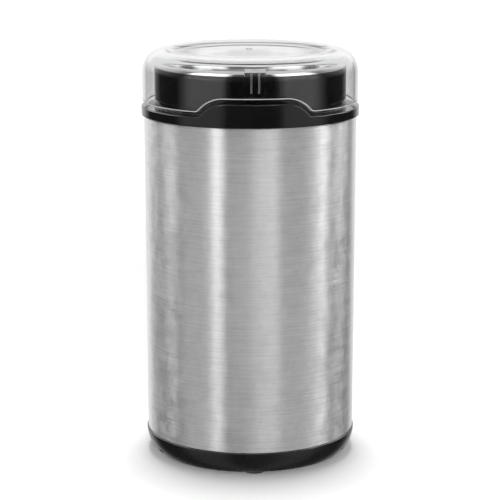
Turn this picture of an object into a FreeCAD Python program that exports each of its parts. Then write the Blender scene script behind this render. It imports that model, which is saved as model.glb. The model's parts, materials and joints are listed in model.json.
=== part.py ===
"""Electric spice grinder: parametric assembly of separate pieces.

Millimetres, +Z up, origin on the floor under the feet, on the axis of the round body.
The front, where the collar's raised tab stands, is at -Y.
"""
import FreeCAD, Part
import Sketcher
import math
import os

V = FreeCAD.Vector
os.makedirs("parts", exist_ok=True)
doc = FreeCAD.newDocument("spice_grinder")

# ---------------------------------------------------------------- driving sizes
SIZES = [
    ("total_height", 180.15, "floor to the top of the lid"),
    ("collar_rad", 47.5, "collar, the widest part"),
    ("collar_low", 151.4, "underside of the collar"),
    ("deck_z", 155.6, "collar's upper face, low part"),
    ("deck_under", 153.4, "underside of the collar deck"),
    ("tab_top", 161.4, "top of the raised front tab"),
    ("tab_half", 23.4, "half width of the tab at its foot"),
    ("tab_flat", 12.5, "half width of the tab's flat top"),
    ("tab_round", 12.6, "radius of the tab's shoulders"),
    ("tab_inner", 45.5, "inner face of the tab"),
    ("barrel_out", 45.2, "outer face of the barrel inside the sleeve"),
    ("barrel_in", 43.3, "inner face of the barrel"),
    ("barrel_low", 10.9, "lower end of the barrel"),
    ("barrel_top", 151.35, "upper end of the barrel, under the collar"),
    ("skirt_in", 41.6, "inner face of the collar's skirt"),
    ("skirt_low", 145.5, "lower end of the collar's skirt"),
    ("bulk_low", 119.0, "underside of the bulkhead"),
    ("bulk_top", 124.0, "top of the bulkhead"),
    ("bulk_hole", 14.0, "centre hole of the bulkhead"),
    ("surround_out", 41.74, "outer face of the bowl surround"),
    ("surround_in", 39.6, "inner face of the bowl surround"),
    ("surround_top", 172.0, "top of the bowl surround"),
    ("sleeve_top_rad", 46.35, "sleeve at the collar"),
    ("sleeve_low_rad", 46.05, "sleeve at the base"),
    ("sleeve_wall", 0.5, "sheet thickness"),
    ("sleeve_low", 10.85, "sleeve lower edge"),
    ("sleeve_top", 151.35, "sleeve upper edge"),
    ("base_rad", 46.5, "base, upper edge"),
    ("base_foot_rad", 43.0, "base, lower edge"),
    ("base_curve", 14.1, "radius of the base's side in section"),
    ("base_top", 10.8, "ledge the sleeve and barrel stand on"),
    ("base_low", 1.2, "underside of the base"),
    ("base_floor", 3.6, "inside floor of the base"),
    ("spigot_out", 42.9, "base spigot inside the barrel"),
    ("spigot_in", 41.1, "inner face of the spigot"),
    ("spigot_top", 16.5, "top of the spigot"),
    ("cup_out", 15.4, "motor cup of the base, outside"),
    ("cup_in", 13.4, "motor cup of the base, inside"),
    ("cup_top", 27.0, "top of the motor cup"),
    ("vent_in", 18.5, "inner end of the floor vents"),
    ("vent_out", 28.4, "outer end of the floor vents"),
    ("vent_width", 2.4, "width of a floor vent"),
    ("foot_circle", 36.0, "feet, distance from the axis"),
    ("foot_rad", 5.5, "foot radius"),
    ("screw_circle", 36.5, "base screws, distance from the axis"),
    ("lid_rad", 47.0, "lid skirt outside"),
    ("lid_wall", 1.9, "lid wall"),
    ("lid_low", 157.5, "lid's lower edge"),
    ("lid_arch", 163.4, "lid's lower edge over the tab"),
    ("arch_half", 23.9, "half width of the arch at its foot"),
    ("arch_flat", 13.0, "half width of the arch's flat"),
    ("arch_round", 13.0, "radius of the arch's shoulders"),
    ("dish_rad", 34.6, "dish in the lid's top"),
    ("dish_depth", 1.5, "depth of the dish"),
    ("tongue_half", 4.4, "half width of the lid's tongue"),
    ("tongue_near", 42.4, "tongue, face towards the axis"),
    ("tongue_thick", 1.8, "tongue thickness"),
    ("tongue_low", 155.3, "tongue's lower end"),
    ("rod_y", 40.2, "push rod, distance from the axis"),
    ("rod_rad", 1.3, "push rod pin radius"),
    ("rod_low", 107.6, "push rod's lower end"),
    ("bowl_floor", 129.0, "bowl floor inside"),
    ("bowl_wall", 0.8, "bowl sheet"),
    ("bowl_mouth", 38.4, "bowl's inner radius at the mouth"),
    ("bowl_waist", 36.2, "bowl's inner radius above the floor bend"),
    ("bowl_bend", 9.0, "floor bend radius"),
    ("rim_top", 174.3, "top of the bowl's rolled rim"),
    ("shaft_rad", 3.0, "motor shaft"),
    ("shaft_low", 23.5, "lower end of the shaft"),
    ("shaft_top", 144.0, "upper end of the shaft"),
    ("blade_z", 137.0, "blade's underside"),
    ("blade_thick", 1.6, "blade thickness"),
    ("blade_half", 29.0, "half length of the blade"),
    ("stack_low", 66.0, "laminations, lower face"),
    ("stack_top", 96.0, "laminations, upper face"),
    ("stator_x", 60.0, "stator width"),
    ("stator_y", 50.0, "stator depth"),
    ("stator_bore", 16.6, "stator bore"),
    ("armature_rad", 16.1, "armature radius"),
    ("bolt_x", 25.5, "through bolts, x"),
    ("bolt_y", 20.5, "through bolts, y"),
    ("fan_rad", 24.0, "fan radius"),
    ("motor_circle", 33.0, "motor screws and dampers, distance from the axis"),
    ("outlet_z", 24.0, "cord outlet height"),
    ("outlet_bore", 3.1, "cord outlet bore radius"),
]
dims = doc.addObject("Spreadsheet::Sheet", "dims")
dims.set("A1", "size")
dims.set("B1", "value in mm")
VALUE = {}
for row, (alias, number, words) in enumerate(SIZES, start=2):
    dims.set("A%d" % row, words)
    dims.set("B%d" % row, repr(number))
    dims.setAlias("B%d" % row, alias)
    VALUE[alias] = number
doc.recompute()


class Q:
    """A size: its number now, and the sheet expression it comes from."""

    def __init__(self, number, text):
        self.v, self.e = float(number), text

    @staticmethod
    def of(x):
        return x if isinstance(x, Q) else Q(x, "(%.6f)" % x)

    def __add__(self, o):
        o = Q.of(o)
        return Q(self.v + o.v, "(%s + %s)" % (self.e, o.e))

    def __radd__(self, o):
        return Q.of(o) + self

    def __sub__(self, o):
        o = Q.of(o)
        return Q(self.v - o.v, "(%s - %s)" % (self.e, o.e))

    def __rsub__(self, o):
        return Q.of(o) - self

    def __mul__(self, o):
        o = Q.of(o)
        return Q(self.v * o.v, "(%s * %s)" % (self.e, o.e))

    __rmul__ = __mul__

    def __truediv__(self, o):
        o = Q.of(o)
        return Q(self.v / o.v, "(%s / %s)" % (self.e, o.e))

    def __neg__(self):
        return Q(-self.v, "(0 - %s)" % self.e)


class Sizes:
    def __getattr__(self, alias):
        return Q(VALUE[alias], "dims." + alias)


S = Sizes()


def num(q):
    return q.v if isinstance(q, Q) else float(q)


def put(obj, prop, q):
    """Sets a property, bound to the sheet where the size comes from it."""
    if isinstance(q, Q):
        obj.setExpression(prop, q.e)
    else:
        target, value = obj, float(q)
        parts = prop.split(".")
        if len(parts) == 1:
            setattr(target, prop, value)
        else:
            obj.setExpression(prop, "%.6f" % value)


# ---------------------------------------------------------------- sketch helpers
def new_body(label):
    b = doc.addObject("PartDesign::Body", label)
    b.Label = label
    return b


def origin_part(b, role):
    for f in b.Origin.OriginFeatures:
        if f.Role == role:
            return f
    raise RuntimeError(role)


def new_sketch(b, name, role="XZ_Plane", lift=None):
    sk = b.newObject("Sketcher::SketchObject", b.Label + "_" + name)
    sk.AttachmentSupport = [(origin_part(b, role), "")]
    sk.MapMode = "FlatFace"
    if lift is not None:
        put(sk, "AttachmentOffset.Base.z", lift)
    return sk


def pin_point(sk, geo, pos, x, y):
    for kind, axis, q in (("DistanceX", -2, x), ("DistanceY", -1, y)):
        v = num(q)
        if abs(v) < 1e-9:
            sk.addConstraint(Sketcher.Constraint("PointOnObject", geo, pos, axis))
            continue
        if v > 0:
            i = sk.addConstraint(Sketcher.Constraint(kind, -1, 1, geo, pos, v))
            text = q.e if isinstance(q, Q) else None
        else:
            i = sk.addConstraint(Sketcher.Constraint(kind, geo, pos, -1, 1, -v))
            text = "-1 * " + q.e if isinstance(q, Q) else None
        if text:
            sk.setExpression("Constraints[%d]" % i, text)


def outline(sk, pts):
    """A closed outline. (x, y) is reached by a straight line, (x, y, radius, 'ccw' or 'cw') by an arc."""
    n = len(pts)
    ends = []
    for i in range(n):
        p, q = pts[i], pts[(i + 1) % n]
        x0, y0, x1, y1 = num(p[0]), num(p[1]), num(q[0]), num(q[1])
        if len(q) > 2 and not (i == n - 1):
            r = num(q[2])
            dx, dy = x1 - x0, y1 - y0
            c = math.hypot(dx, dy)
            rise = math.sqrt(max(r * r - c * c / 4, 0.0))
            side = 1 if q[3] == "ccw" else -1
            cx = (x0 + x1) / 2 - dy / c * rise * side
            cy = (y0 + y1) / 2 + dx / c * rise * side
            a0, a1 = math.atan2(y0 - cy, x0 - cx), math.atan2(y1 - cy, x1 - cx)
            if q[3] != "ccw":
                a0, a1 = a1, a0
            while a1 < a0:
                a1 += 2 * math.pi
            circle = Part.Circle(V(cx, cy, 0), V(0, 0, 1), r)
            g = sk.addGeometry(Part.ArcOfCircle(circle, a0, a1), False)
            ends.append((g, 1, 2) if q[3] == "ccw" else (g, 2, 1))
            k = sk.addConstraint(Sketcher.Constraint("Radius", g, r))
            if isinstance(q[2], Q):
                sk.setExpression("Constraints[%d]" % k, q[2].e)
        else:
            g = sk.addGeometry(Part.LineSegment(V(x0, y0, 0), V(x1, y1, 0)), False)
            ends.append((g, 1, 2))
    for i in range(n):
        g, a, b = ends[i]
        h, c, _ = ends[(i + 1) % n]
        sk.addConstraint(Sketcher.Constraint("Coincident", g, b, h, c))
    for i in range(n):
        g, a, b = ends[i]
        pin_point(sk, g, a, pts[i][0], pts[i][1])


def circle(sk, x, y, r):
    g = sk.addGeometry(Part.Circle(V(num(x), num(y), 0), V(0, 0, 1), num(r)), False)
    pin_point(sk, g, 3, x, y)
    k = sk.addConstraint(Sketcher.Constraint("Radius", g, num(r)))
    if isinstance(r, Q):
        sk.setExpression("Constraints[%d]" % k, r.e)


def rect(sk, x0, y0, x1, y1):
    outline(sk, [(x0, y0), (x1, y0), (x1, y1), (x0, y1)])


def settle(b, feature, grows):
    """Recomputes, and makes sure that the feature worked and went the right way."""
    before = b.get("v", 0.0)
    doc.recompute()
    body = b["body"]
    if "Invalid" in feature.State or "Error" in feature.State or body.Shape.isNull():
        raise RuntimeError("%s failed: %s" % (feature.Name, feature.State))
    after = body.Shape.Volume
    if grows and after <= before + 1e-6:
        raise RuntimeError("%s added nothing (%g to %g)" % (feature.Name, before, after))
    if grows is False and after >= before - 1e-6:
        raise RuntimeError("%s cut nothing (%g to %g)" % (feature.Name, before, after))
    b["v"] = after
    return feature


BUILT = []


class Piece:
    """One PartDesign body, grown feature by feature."""

    def __init__(self, label):
        self.body = new_body(label)
        self.mem = {"body": self.body}
        self.count = 0
        BUILT.append((label, self.body))

    def _name(self, what):
        self.count += 1
        return "%s%d" % (what, self.count)

    def sketch(self, role="XZ_Plane", lift=None):
        return new_sketch(self.body, self._name("sketch"), role, lift)

    def _feature(self, kind, what, sk):
        f = self.body.newObject(kind, self.body.Label + "_" + self._name(what))
        f.Profile = (sk, [""])
        return f

    def revolve(self, pts, role="XZ_Plane", angle=360.0, axis="V_Axis"):
        sk = self.sketch(role)
        outline(sk, pts)
        f = self._feature("PartDesign::Revolution", "turn", sk)
        f.ReferenceAxis = (sk, [axis])
        f.Angle = angle
        sk.Visibility = False
        return settle(self.mem, f, True)

    def groove(self, pts, role="XZ_Plane", axis="V_Axis"):
        sk = self.sketch(role)
        outline(sk, pts)
        f = self._feature("PartDesign::Groove", "groove", sk)
        f.ReferenceAxis = (sk, [axis])
        f.Angle = 360.0
        return settle(self.mem, f, False)

    def pad(self, draw, length, role="XY_Plane", lift=None, back=False):
        sk = self.sketch(role, lift)
        draw(sk)
        f = self._feature("PartDesign::Pad", "pad", sk)
        put(f, "Length", length)
        f.Reversed = back
        return settle(self.mem, f, True)

    def pocket(self, draw, length, role="XY_Plane", lift=None, back=False, check=False):
        sk = self.sketch(role, lift)
        draw(sk)
        f = self._feature("PartDesign::Pocket", "pocket", sk)
        put(f, "Length", length)
        f.Reversed = back
        self.last_sketch = sk
        return settle(self.mem, f, check)

    def polar(self, feature, count, angle=360.0, grows=True):
        f = self.body.newObject("PartDesign::PolarPattern", self.body.Label + "_" + self._name("polar"))
        f.Originals = [feature]
        f.Axis = (origin_part(self.body, "Z_Axis"), [""])
        f.Angle = angle
        f.Occurrences = count
        self.body.Tip = f
        return settle(self.mem, f, grows)

    def fillet(self, radius, pick, kind="PartDesign::Fillet"):
        base = self.body.Tip
        names = ["Edge%d" % (i + 1) for i, e in enumerate(base.Shape.Edges) if pick(e)]
        if not names:
            raise RuntimeError("%s: no edge picked" % self.body.Label)
        f = self.body.newObject(kind, self.body.Label + "_" + self._name("blend"))
        f.Base = (base, names)
        if kind == "PartDesign::Fillet":
            put(f, "Radius", radius)
        else:
            put(f, "Size", radius)
        return settle(self.mem, f, None)


def ring_edge(z, r, tol=0.02):
    """Picks full circles (or their halves) about the Z axis at that height and radius."""

    def pick(e):
        c = getattr(e, "Curve", None)
        if c is None or c.TypeId != "Part::GeomCircle":
            return False
        return abs(c.Radius - r) < tol and abs(c.Center.z - z) < tol and math.hypot(c.Center.x, c.Center.y) < tol

    return pick


def whole(label, obj):
    """A node made of Part objects: the final one carries the label."""
    obj.Label = label
    BUILT.append((label, obj))
    return obj


def shape_node(label, shape):
    """A node whose shape is worked out in code from the sheet's sizes."""
    f = doc.addObject("Part::Feature", label)
    f.Label = label
    f.Shape = shape
    f.Placement = FreeCAD.Placement(V(0, 0, 0), FreeCAD.Rotation())
    BUILT.append((label, f))
    return f


def prim(kind, name, at=(0, 0, 0), turn=None, **props):
    o = doc.addObject(kind, name)
    for k, q in props.items():
        put(o, k, q)
    for axis, q in zip("xyz", at):
        if isinstance(q, Q):
            o.setExpression("Placement.Base." + axis, q.e)
    base = V(*[num(q) for q in at])
    rot = FreeCAD.Rotation() if turn is None else FreeCAD.Rotation(V(*turn[0]), turn[1])
    o.Placement = FreeCAD.Placement(base, rot)
    return o


def box(name, x0, y0, z0, dx, dy, dz):
    return prim("Part::Box", name, (x0, y0, z0), Length=dx, Width=dy, Height=dz)


def cyl(name, x, y, z, r, high, turn=None):
    return prim("Part::Cylinder", name, (x, y, z), turn, Radius=r, Height=high)


def fuse(name, *parts):
    o = doc.addObject("Part::MultiFuse", name)
    o.Shapes = list(parts)
    o.Refine = True
    return o


def cut(name, base, tool):
    o = doc.addObject("Part::Cut", name)
    o.Base, o.Tool = base, tool
    o.Refine = True
    return o


def compound(name, *parts):
    o = doc.addObject("Part::Compound", name)
    o.Links = list(parts)
    return o


# ================================================================ main housing
# The barrel inside the sleeve. A ledge inside carries the bulkhead over the motor, and
# four webbed posts at the bottom take the base screws.
housing = Piece("main_housing")
housing.revolve(
    [
        (S.barrel_in, S.barrel_low),
        (S.barrel_out, S.barrel_low),
        (S.barrel_out, S.barrel_top),
        (S.barrel_in, S.barrel_top),
        (S.barrel_in, S.bulk_low - 0.03),
        (S.barrel_in - 1.0, S.bulk_low - 0.03),
        (S.barrel_in - 1.0, S.bulk_low - 1.2),
        (S.barrel_in, S.bulk_low - 2.4),
    ]
)
# channel at the front of the barrel for the push rod
housing.pocket(
    lambda sk: rect(sk, -5.0, -44.45, 5.0, -42.1), 12.0, role="XY_Plane", lift=S.deck_z + 2.0
)
housing.pocket(
    lambda sk: rect(sk, -3.2, -44.3, 3.2, -38.0), 26.0, role="XY_Plane", lift=S.deck_z - 5.0
)

# ================================================================ top collar
# Collar with the raised front tab, the surround that carries the bowl's rim, and a skirt
# that plugs into the barrel.
collar = Piece("top_collar")
collar.revolve(
    [
        (S.surround_in, S.deck_under),
        (S.skirt_in, S.deck_under),
        (S.skirt_in, S.skirt_low),
        (S.barrel_in - 0.45, S.skirt_low),
        (S.barrel_in - 0.05, S.skirt_low + 0.6),
        (S.barrel_in - 0.05, S.collar_low),
        (S.collar_rad - 0.35, S.collar_low),
        (S.collar_rad, S.collar_low + 0.35),
        (S.collar_rad, S.tab_top + 0.6),
        (S.tab_inner, S.tab_top + 0.6),
        (S.tab_inner, S.deck_z),
        (S.surround_in, S.deck_z),
    ]
)
# the ring is cut down to the deck all round, except for the tab at the front
collar.pocket(
    lambda sk: outline(
        sk,
        [
            (-60, S.deck_z),
            (-S.tab_half, S.deck_z),
            (-S.tab_flat, S.tab_top, S.tab_round, "cw"),
            (S.tab_flat, S.tab_top),
            (S.tab_half, S.deck_z, S.tab_round, "cw"),
            (60, S.deck_z),
            (60, 170),
            (-60, 170),
        ],
    ),
    60,
    role="XZ_Plane",
    back=True,
)
collar.pocket(lambda sk: rect(sk, -60, S.deck_z, 60, 170), 60, role="XZ_Plane")


def on_collar_top(e):
    """The outer edges of the collar's upper face and of the tab."""
    pts = [e.valueAt(e.FirstParameter + (e.LastParameter - e.FirstParameter) * k) for k in (0.0, 0.3, 0.5, 0.7, 1.0)]
    r, low = VALUE["collar_rad"], VALUE["deck_z"] - 0.01
    return all(abs(math.hypot(p.x, p.y) - r) < 0.01 and p.z > low for p in pts)


COLLAR_EDGE = "rounded"
try:
    collar.fillet(0.45, on_collar_top)
except Exception as why:  # the corner at the tab's foot may not take a rounding
    COLLAR_EDGE = "sharp (%s)" % why
    bad = collar.body.Tip
    good = bad.BaseFeature
    collar.body.removeObject(bad)
    doc.removeObject(bad.Name)
    collar.body.Tip = good
    doc.recompute()
    collar.mem["v"] = collar.body.Shape.Volume

# the surround, with a small flare where it meets the deck
collar.revolve(
    [
        (S.surround_in, S.deck_z - 0.4),
        (S.surround_out + 0.6, S.deck_z - 0.4),
        (S.surround_out + 0.6, S.deck_z),
        (S.surround_out, S.deck_z + 0.6, 0.6, "cw"),
        (S.surround_out, S.surround_top - 0.3),
        (S.surround_out - 0.3, S.surround_top),
        (S.surround_in, S.surround_top),
    ]
)
# slot behind the tab for the lid's tongue, open through the skirt for the push rod
collar.pocket(
    lambda sk: rect(sk, -5.0, -44.45, 5.0, -42.1), 14.0, role="XY_Plane", lift=S.deck_z + 2.0
)
collar.pocket(
    lambda sk: rect(sk, -4.2, -44.3, 4.2, -37.6), 12.0, role="XY_Plane", lift=S.deck_under + 0.5
)

# ================================================================ motor bulkhead
# The disc over the motor: it lies on the barrel's ledge and carries bowl and motor.
bulkhead = Piece("motor_bulkhead")
bulkhead.revolve(
    [
        (S.bulk_hole, S.bulk_low),
        (S.barrel_in - 0.05, S.bulk_low),
        (S.barrel_in - 0.05, S.bulk_top - 0.5),
        (S.barrel_in - 0.55, S.bulk_top),
        (S.bulk_hole, S.bulk_top),
    ]
)
# guide hole for the push rod
bulkhead.pocket(
    lambda sk: circle(sk, 0, -S.rod_y, S.rod_rad + 0.06), 8.0, role="XY_Plane", lift=S.bulk_top + 1.0
)
# four blind holes on the underside for the motor screws
hole = bulkhead.pocket(
    lambda sk: circle(sk, S.motor_circle, 0, 1.3), 4.0, role="XY_Plane", lift=S.bulk_low, back=True
)
bulkhead.polar(hole, 4, grows=False)

# ================================================================ barrel details
# four posts for the base screws, webbed to the barrel
post = housing.pad(
    lambda sk: circle(sk, S.screw_circle * 0.70710678, S.screw_circle * 0.70710678, 3.8),
    23.6,
    lift=6.4,
)
housing.polar(post, 4)
web = housing.pad(
    lambda sk: outline(sk, [(26.0, 24.4), (31.9, 30.3), (30.3, 31.9), (24.4, 26.0)]), 12.0, lift=18.0
)
housing.polar(web, 4)
bore = housing.pocket(
    lambda sk: circle(sk, S.screw_circle * 0.70710678, S.screw_circle * 0.70710678, 1.45),
    16.0,
    lift=6.4,
    back=True,
)
housing.polar(bore, 4, grows=False)
# seat for the microswitch on the barrel wall
housing.pad(lambda sk: rect(sk, -9.5, 95.0, 5.5, 103.0), 2.6, role="XZ_Plane", lift=41.35)
for x in (-6.75, 2.75):
    housing.pocket(
        lambda sk, x=x: circle(sk, x, 97.0, 1.15), 3.0, role="XZ_Plane", lift=41.0, back=True
    )
# seat for the terminal block at the back
housing.pad(lambda sk: rect(sk, -7.0, 45.0, 7.0, 52.0), 2.6, role="XZ_Plane", lift=-40.6, back=True)
for x in (-4.5, 4.5):
    housing.pocket(lambda sk, x=x: circle(sk, x, 48.5, 1.2), 3.4, role="XZ_Plane", lift=-40.0)
# cord outlet hole at the back
housing.pocket(
    lambda sk: circle(sk, 0, S.outlet_z, S.outlet_bore + 1.5), 6.0, role="XZ_Plane", lift=-41.0
)

# ================================================================ steel sleeve
sleeve = Piece("steel_sleeve")
sleeve.revolve(
    [
        (S.sleeve_low_rad - S.sleeve_wall, S.sleeve_low),
        (S.sleeve_low_rad, S.sleeve_low),
        (S.sleeve_top_rad, S.sleeve_top),
        (S.sleeve_top_rad - S.sleeve_wall, S.sleeve_top),
    ]
)
sleeve.pocket(lambda sk: circle(sk, 0, S.outlet_z, S.outlet_bore + 1.7), 6.0, role="XZ_Plane", lift=-42.0)

# ================================================================ base cover
base = Piece("base_cover")
base.revolve(
    [
        (0, S.base_low),
        (S.base_foot_rad - 0.8, S.base_low),
        (S.base_foot_rad, S.base_low + 0.35, 1.1, "ccw"),
        (S.base_rad, S.base_top - 0.35, S.base_curve, "ccw"),
        (S.base_rad - 0.3, S.base_top),
        (S.spigot_out, S.base_top),
        (S.spigot_out, S.spigot_top - 0.4),
        (S.spigot_out - 0.4, S.spigot_top),
        (S.spigot_in, S.spigot_top),
        (S.spigot_in, S.base_floor + 1.6),
        (S.spigot_in - 1.6, S.base_floor, 1.6, "cw"),
        (S.cup_out, S.base_floor),
        (S.cup_out, S.cup_top),
        (S.cup_in, S.cup_top),
        (S.cup_in, S.base_floor),
        (0, S.base_floor),
    ]
)
# raised bosses round the screw holes
boss = base.pad(
    lambda sk: circle(sk, S.screw_circle * 0.70710678, S.screw_circle * 0.70710678, 3.9),
    2.4,
    lift=S.base_floor - 0.2,
)
base.polar(boss, 4)
sink = base.pocket(
    lambda sk: circle(sk, S.screw_circle * 0.70710678, S.screw_circle * 0.70710678, 3.3),
    2.2,
    lift=S.base_low,
    back=True,
)
base.polar(sink, 4, grows=False)
thru = base.pocket(
    lambda sk: circle(sk, S.screw_circle * 0.70710678, S.screw_circle * 0.70710678, 1.7),
    8.0,
    lift=S.base_low,
    back=True,
)
base.polar(thru, 4, grows=False)
# recess and hole for each foot
seat = base.pocket(lambda sk: circle(sk, S.foot_circle, 0, S.foot_rad + 0.15), 1.0, lift=S.base_low, back=True)
base.polar(seat, 4, grows=False)
stem = base.pocket(lambda sk: circle(sk, S.foot_circle, 0, 1.75), 5.0, lift=S.base_low, back=True)
base.polar(stem, 4, grows=False)
# radial vents in the floor
vent = base.pocket(
    lambda sk: outline(
        sk,
        [
            (-S.vent_width / 2, S.vent_in),
            (S.vent_width / 2, S.vent_in),
            (S.vent_width / 2, S.vent_out),
            (-S.vent_width / 2, S.vent_out, S.vent_width * 0.53, "ccw"),
        ],
    ),
    5.0,
    lift=S.base_low - 0.5,
    back=True,
)
base.polar(vent, 24, grows=False)
# rows of small slots low on the left and right of the side
for sign in (-1, 1):
    slot = base.pocket(
        lambda sk, sign=sign: rect(sk, -2.1, 2.75, 2.1, 3.95),
        8.0,
        role="XZ_Plane",
        lift=39.0,
        back=True,
    )
    sk = base.last_sketch
    # the first slot's sketch stands square to the radius at 66 degrees from the front
    sk.setExpression("AttachmentOffset.Base.z", None)
    swing_a = math.radians(sign * 66.0)
    sk.AttachmentOffset = FreeCAD.Placement(
        V(39.0 * math.sin(swing_a), 0, 39.0 * math.cos(swing_a)), FreeCAD.Rotation(V(0, 1, 0), sign * 66.0)
    )
    doc.recompute()
    base.mem["v"] = base.body.Shape.Volume
    f = base.body.newObject("PartDesign::PolarPattern", "base_cover_side%d" % (sign + 1))
    f.Originals = [slot]
    f.Axis = (origin_part(base.body, "Z_Axis"), [""])
    f.Angle = 48.0
    f.Occurrences = 7
    f.Reversed = sign < 0
    base.body.Tip = f
    settle(base.mem, f, False)

# ================================================================ clear lid
lid = Piece("clear_lid")
# the shoulder is three tangent arcs, outside and inside about the same centres
a_long, a_short, swing = 12.57, 8.40, math.radians(25.0)
sx, cx = math.sin(swing), math.cos(swing)
run = a_long * (1 - cx) + a_short * (cx - sx) + a_long * sx
first = (a_long * (1 - cx), a_long * sx)
second = (run - a_long * sx, run - a_long * (1 - cx))
lw = VALUE["lid_wall"]
i_long, i_short = a_long - lw, a_short - lw
lid.revolve(
    [
        (0, S.total_height - S.dish_depth),
        (0, S.total_height - S.dish_depth - S.lid_wall),
        (S.dish_rad - 1.6, S.total_height - S.dish_depth - S.lid_wall),
        (S.dish_rad - 0.2, S.total_height - S.lid_wall),
        (S.lid_rad - run, S.total_height - S.lid_wall),
        (S.lid_rad - run + i_long * sx, S.total_height - a_long + i_long * cx, i_long, "cw"),
        (S.lid_rad - a_long + i_long * cx, S.total_height - run + i_long * sx, i_short, "cw"),
        (S.lid_rad - S.lid_wall, S.total_height - run, i_long, "cw"),
        (S.lid_rad - S.lid_wall, S.lid_low),
        (S.lid_rad - 0.4, S.lid_low),
        (S.lid_rad, S.lid_low + 0.4, 0.4, "ccw"),
        (S.lid_rad, S.total_height - run),
        (S.lid_rad - first[0], S.total_height - run + first[1], a_long, "ccw"),
        (S.lid_rad - second[0], S.total_height - run + second[1], a_short, "ccw"),
        (S.lid_rad - run, S.total_height, a_long, "ccw"),
        (S.dish_rad + 0.9, S.total_height),
        (S.dish_rad, S.total_height - 0.35, 0.9, "ccw"),
        (S.dish_rad - 0.9, S.total_height - S.dish_depth + 0.3),
        (S.dish_rad - 2.0, S.total_height - S.dish_depth, 1.3, "cw"),
    ]
)
# arch in the skirt over the collar's tab
lid.pocket(
    lambda sk: outline(
        sk,
        [
            (-S.arch_half, 150),
            (S.arch_half, 150),
            (S.arch_half, S.lid_low),
            (S.arch_flat, S.lid_arch, S.arch_round, "ccw"),
            (-S.arch_flat, S.lid_arch),
            (-S.arch_half, S.lid_low, S.arch_round, "ccw"),
        ],
    ),
    60,
    role="XZ_Plane",
    back=True,
)
# tongue that goes down behind the tab and works the push rod
lid.pad(
    lambda sk: outline(
        sk,
        [
            (-S.tongue_half + 0.8, S.tongue_low),
            (S.tongue_half - 0.8, S.tongue_low),
            (S.tongue_half, S.tongue_low + 0.8),
            (S.tongue_half, 176.0),
            (-S.tongue_half, 176.0),
            (-S.tongue_half, S.tongue_low + 0.8),
        ],
    ),
    S.tongue_thick,
    role="XZ_Plane",
    lift=S.tongue_near,
)
# the rib that joins the tongue to the skirt, with a round lower end
lid.pad(
    lambda sk: outline(
        sk,
        [(1.3, 166.8), (1.3, 175.2), (-1.3, 175.2), (-1.3, 166.8), (0, 165.5, 1.3, "ccw"), (1.25, 166.5, 1.3, "ccw")],
    ),
    1.4,
    role="XZ_Plane",
    lift=S.tongue_near + S.tongue_thick - 0.1,
)
# gate mark of the moulding, in the middle of the dish
lid.pad(lambda sk: circle(sk, 0, 0, 0.9), 0.35, lift=S.total_height - S.dish_depth - 0.2)

# ================================================================ grinding bowl
bowl = Piece("grinding_bowl")
bw = S.bowl_wall
bowl.revolve(
    [
        (8.3, S.bowl_floor),
        (8.3, S.bowl_floor - bw),
        (S.bowl_waist - S.bowl_bend, S.bowl_floor - bw),
        (S.bowl_waist + bw, S.bowl_floor + S.bowl_bend, S.bowl_bend + bw, "ccw"),
        (S.bowl_mouth + bw, S.rim_top - 1.2),
        (S.bowl_mouth + 1.2, S.rim_top - bw, 0.4, "cw"),
        (S.surround_out - bw, S.surround_top + 0.1, 1.4, "cw"),
        (S.surround_out, S.surround_top + 0.1),
        (S.bowl_mouth + 1.2, S.rim_top, 2.2, "ccw"),
        (S.bowl_mouth, S.rim_top - 1.2, 1.2, "ccw"),
        (S.bowl_waist, S.bowl_floor + S.bowl_bend),
        (S.bowl_waist - S.bowl_bend, S.bowl_floor, S.bowl_bend, "cw"),
    ]
)

gasket = Piece("bowl_gasket")
gasket.revolve(
    [
        (8.4, S.bulk_top + 0.05),
        (20.0, S.bulk_top + 0.05),
        (20.0, S.bulk_top + 3.4),
        (19.0, S.bowl_floor - S.bowl_wall - 0.02),
        (8.4, S.bowl_floor - S.bowl_wall - 0.02),
    ]
)
ring_nut = Piece("bowl_ring_nut")
ring_nut.pad(
    lambda sk: outline(sk, [(12.5 * math.cos(math.radians(60 * k)), 12.5 * math.sin(math.radians(60 * k))) for k in range(6)]),
    2.6,
    lift=S.bowl_floor + 0.02,
)
ring_nut.pocket(lambda sk: circle(sk, 0, 0, 8.05), 6.0, lift=S.bowl_floor + 4.0)
ring_nut.fillet(0.5, lambda e: abs(e.CenterOfMass.z - (VALUE["bowl_floor"] + 2.62)) < 0.01 and math.hypot(e.CenterOfMass.x, e.CenterOfMass.y) > 9.0, "PartDesign::Chamfer")

seal = Piece("shaft_seal")
seal.revolve(
    [(3.08, 127.6), (5.9, 127.6), (5.9, 131.2), (4.6, 131.2), (4.0, 130.2), (3.5, 131.6), (3.08, 131.6)]
)

# ================================================================ turning parts
shaft = Piece("motor_shaft")
shaft.revolve(
    [
        (0, S.shaft_low),
        (S.shaft_rad - 0.5, S.shaft_low),
        (S.shaft_rad, S.shaft_low + 0.5),
        (S.shaft_rad, S.shaft_top - 0.6),
        (S.shaft_rad - 0.6, S.shaft_top),
        (0, S.shaft_top),
    ]
)
spacer = Piece("blade_spacer")
spacer.revolve([(3.02, 132.6), (5.2, 132.6), (6.4, 133.4), (6.4, S.blade_z - 0.02), (3.02, S.blade_z - 0.02)])

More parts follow.
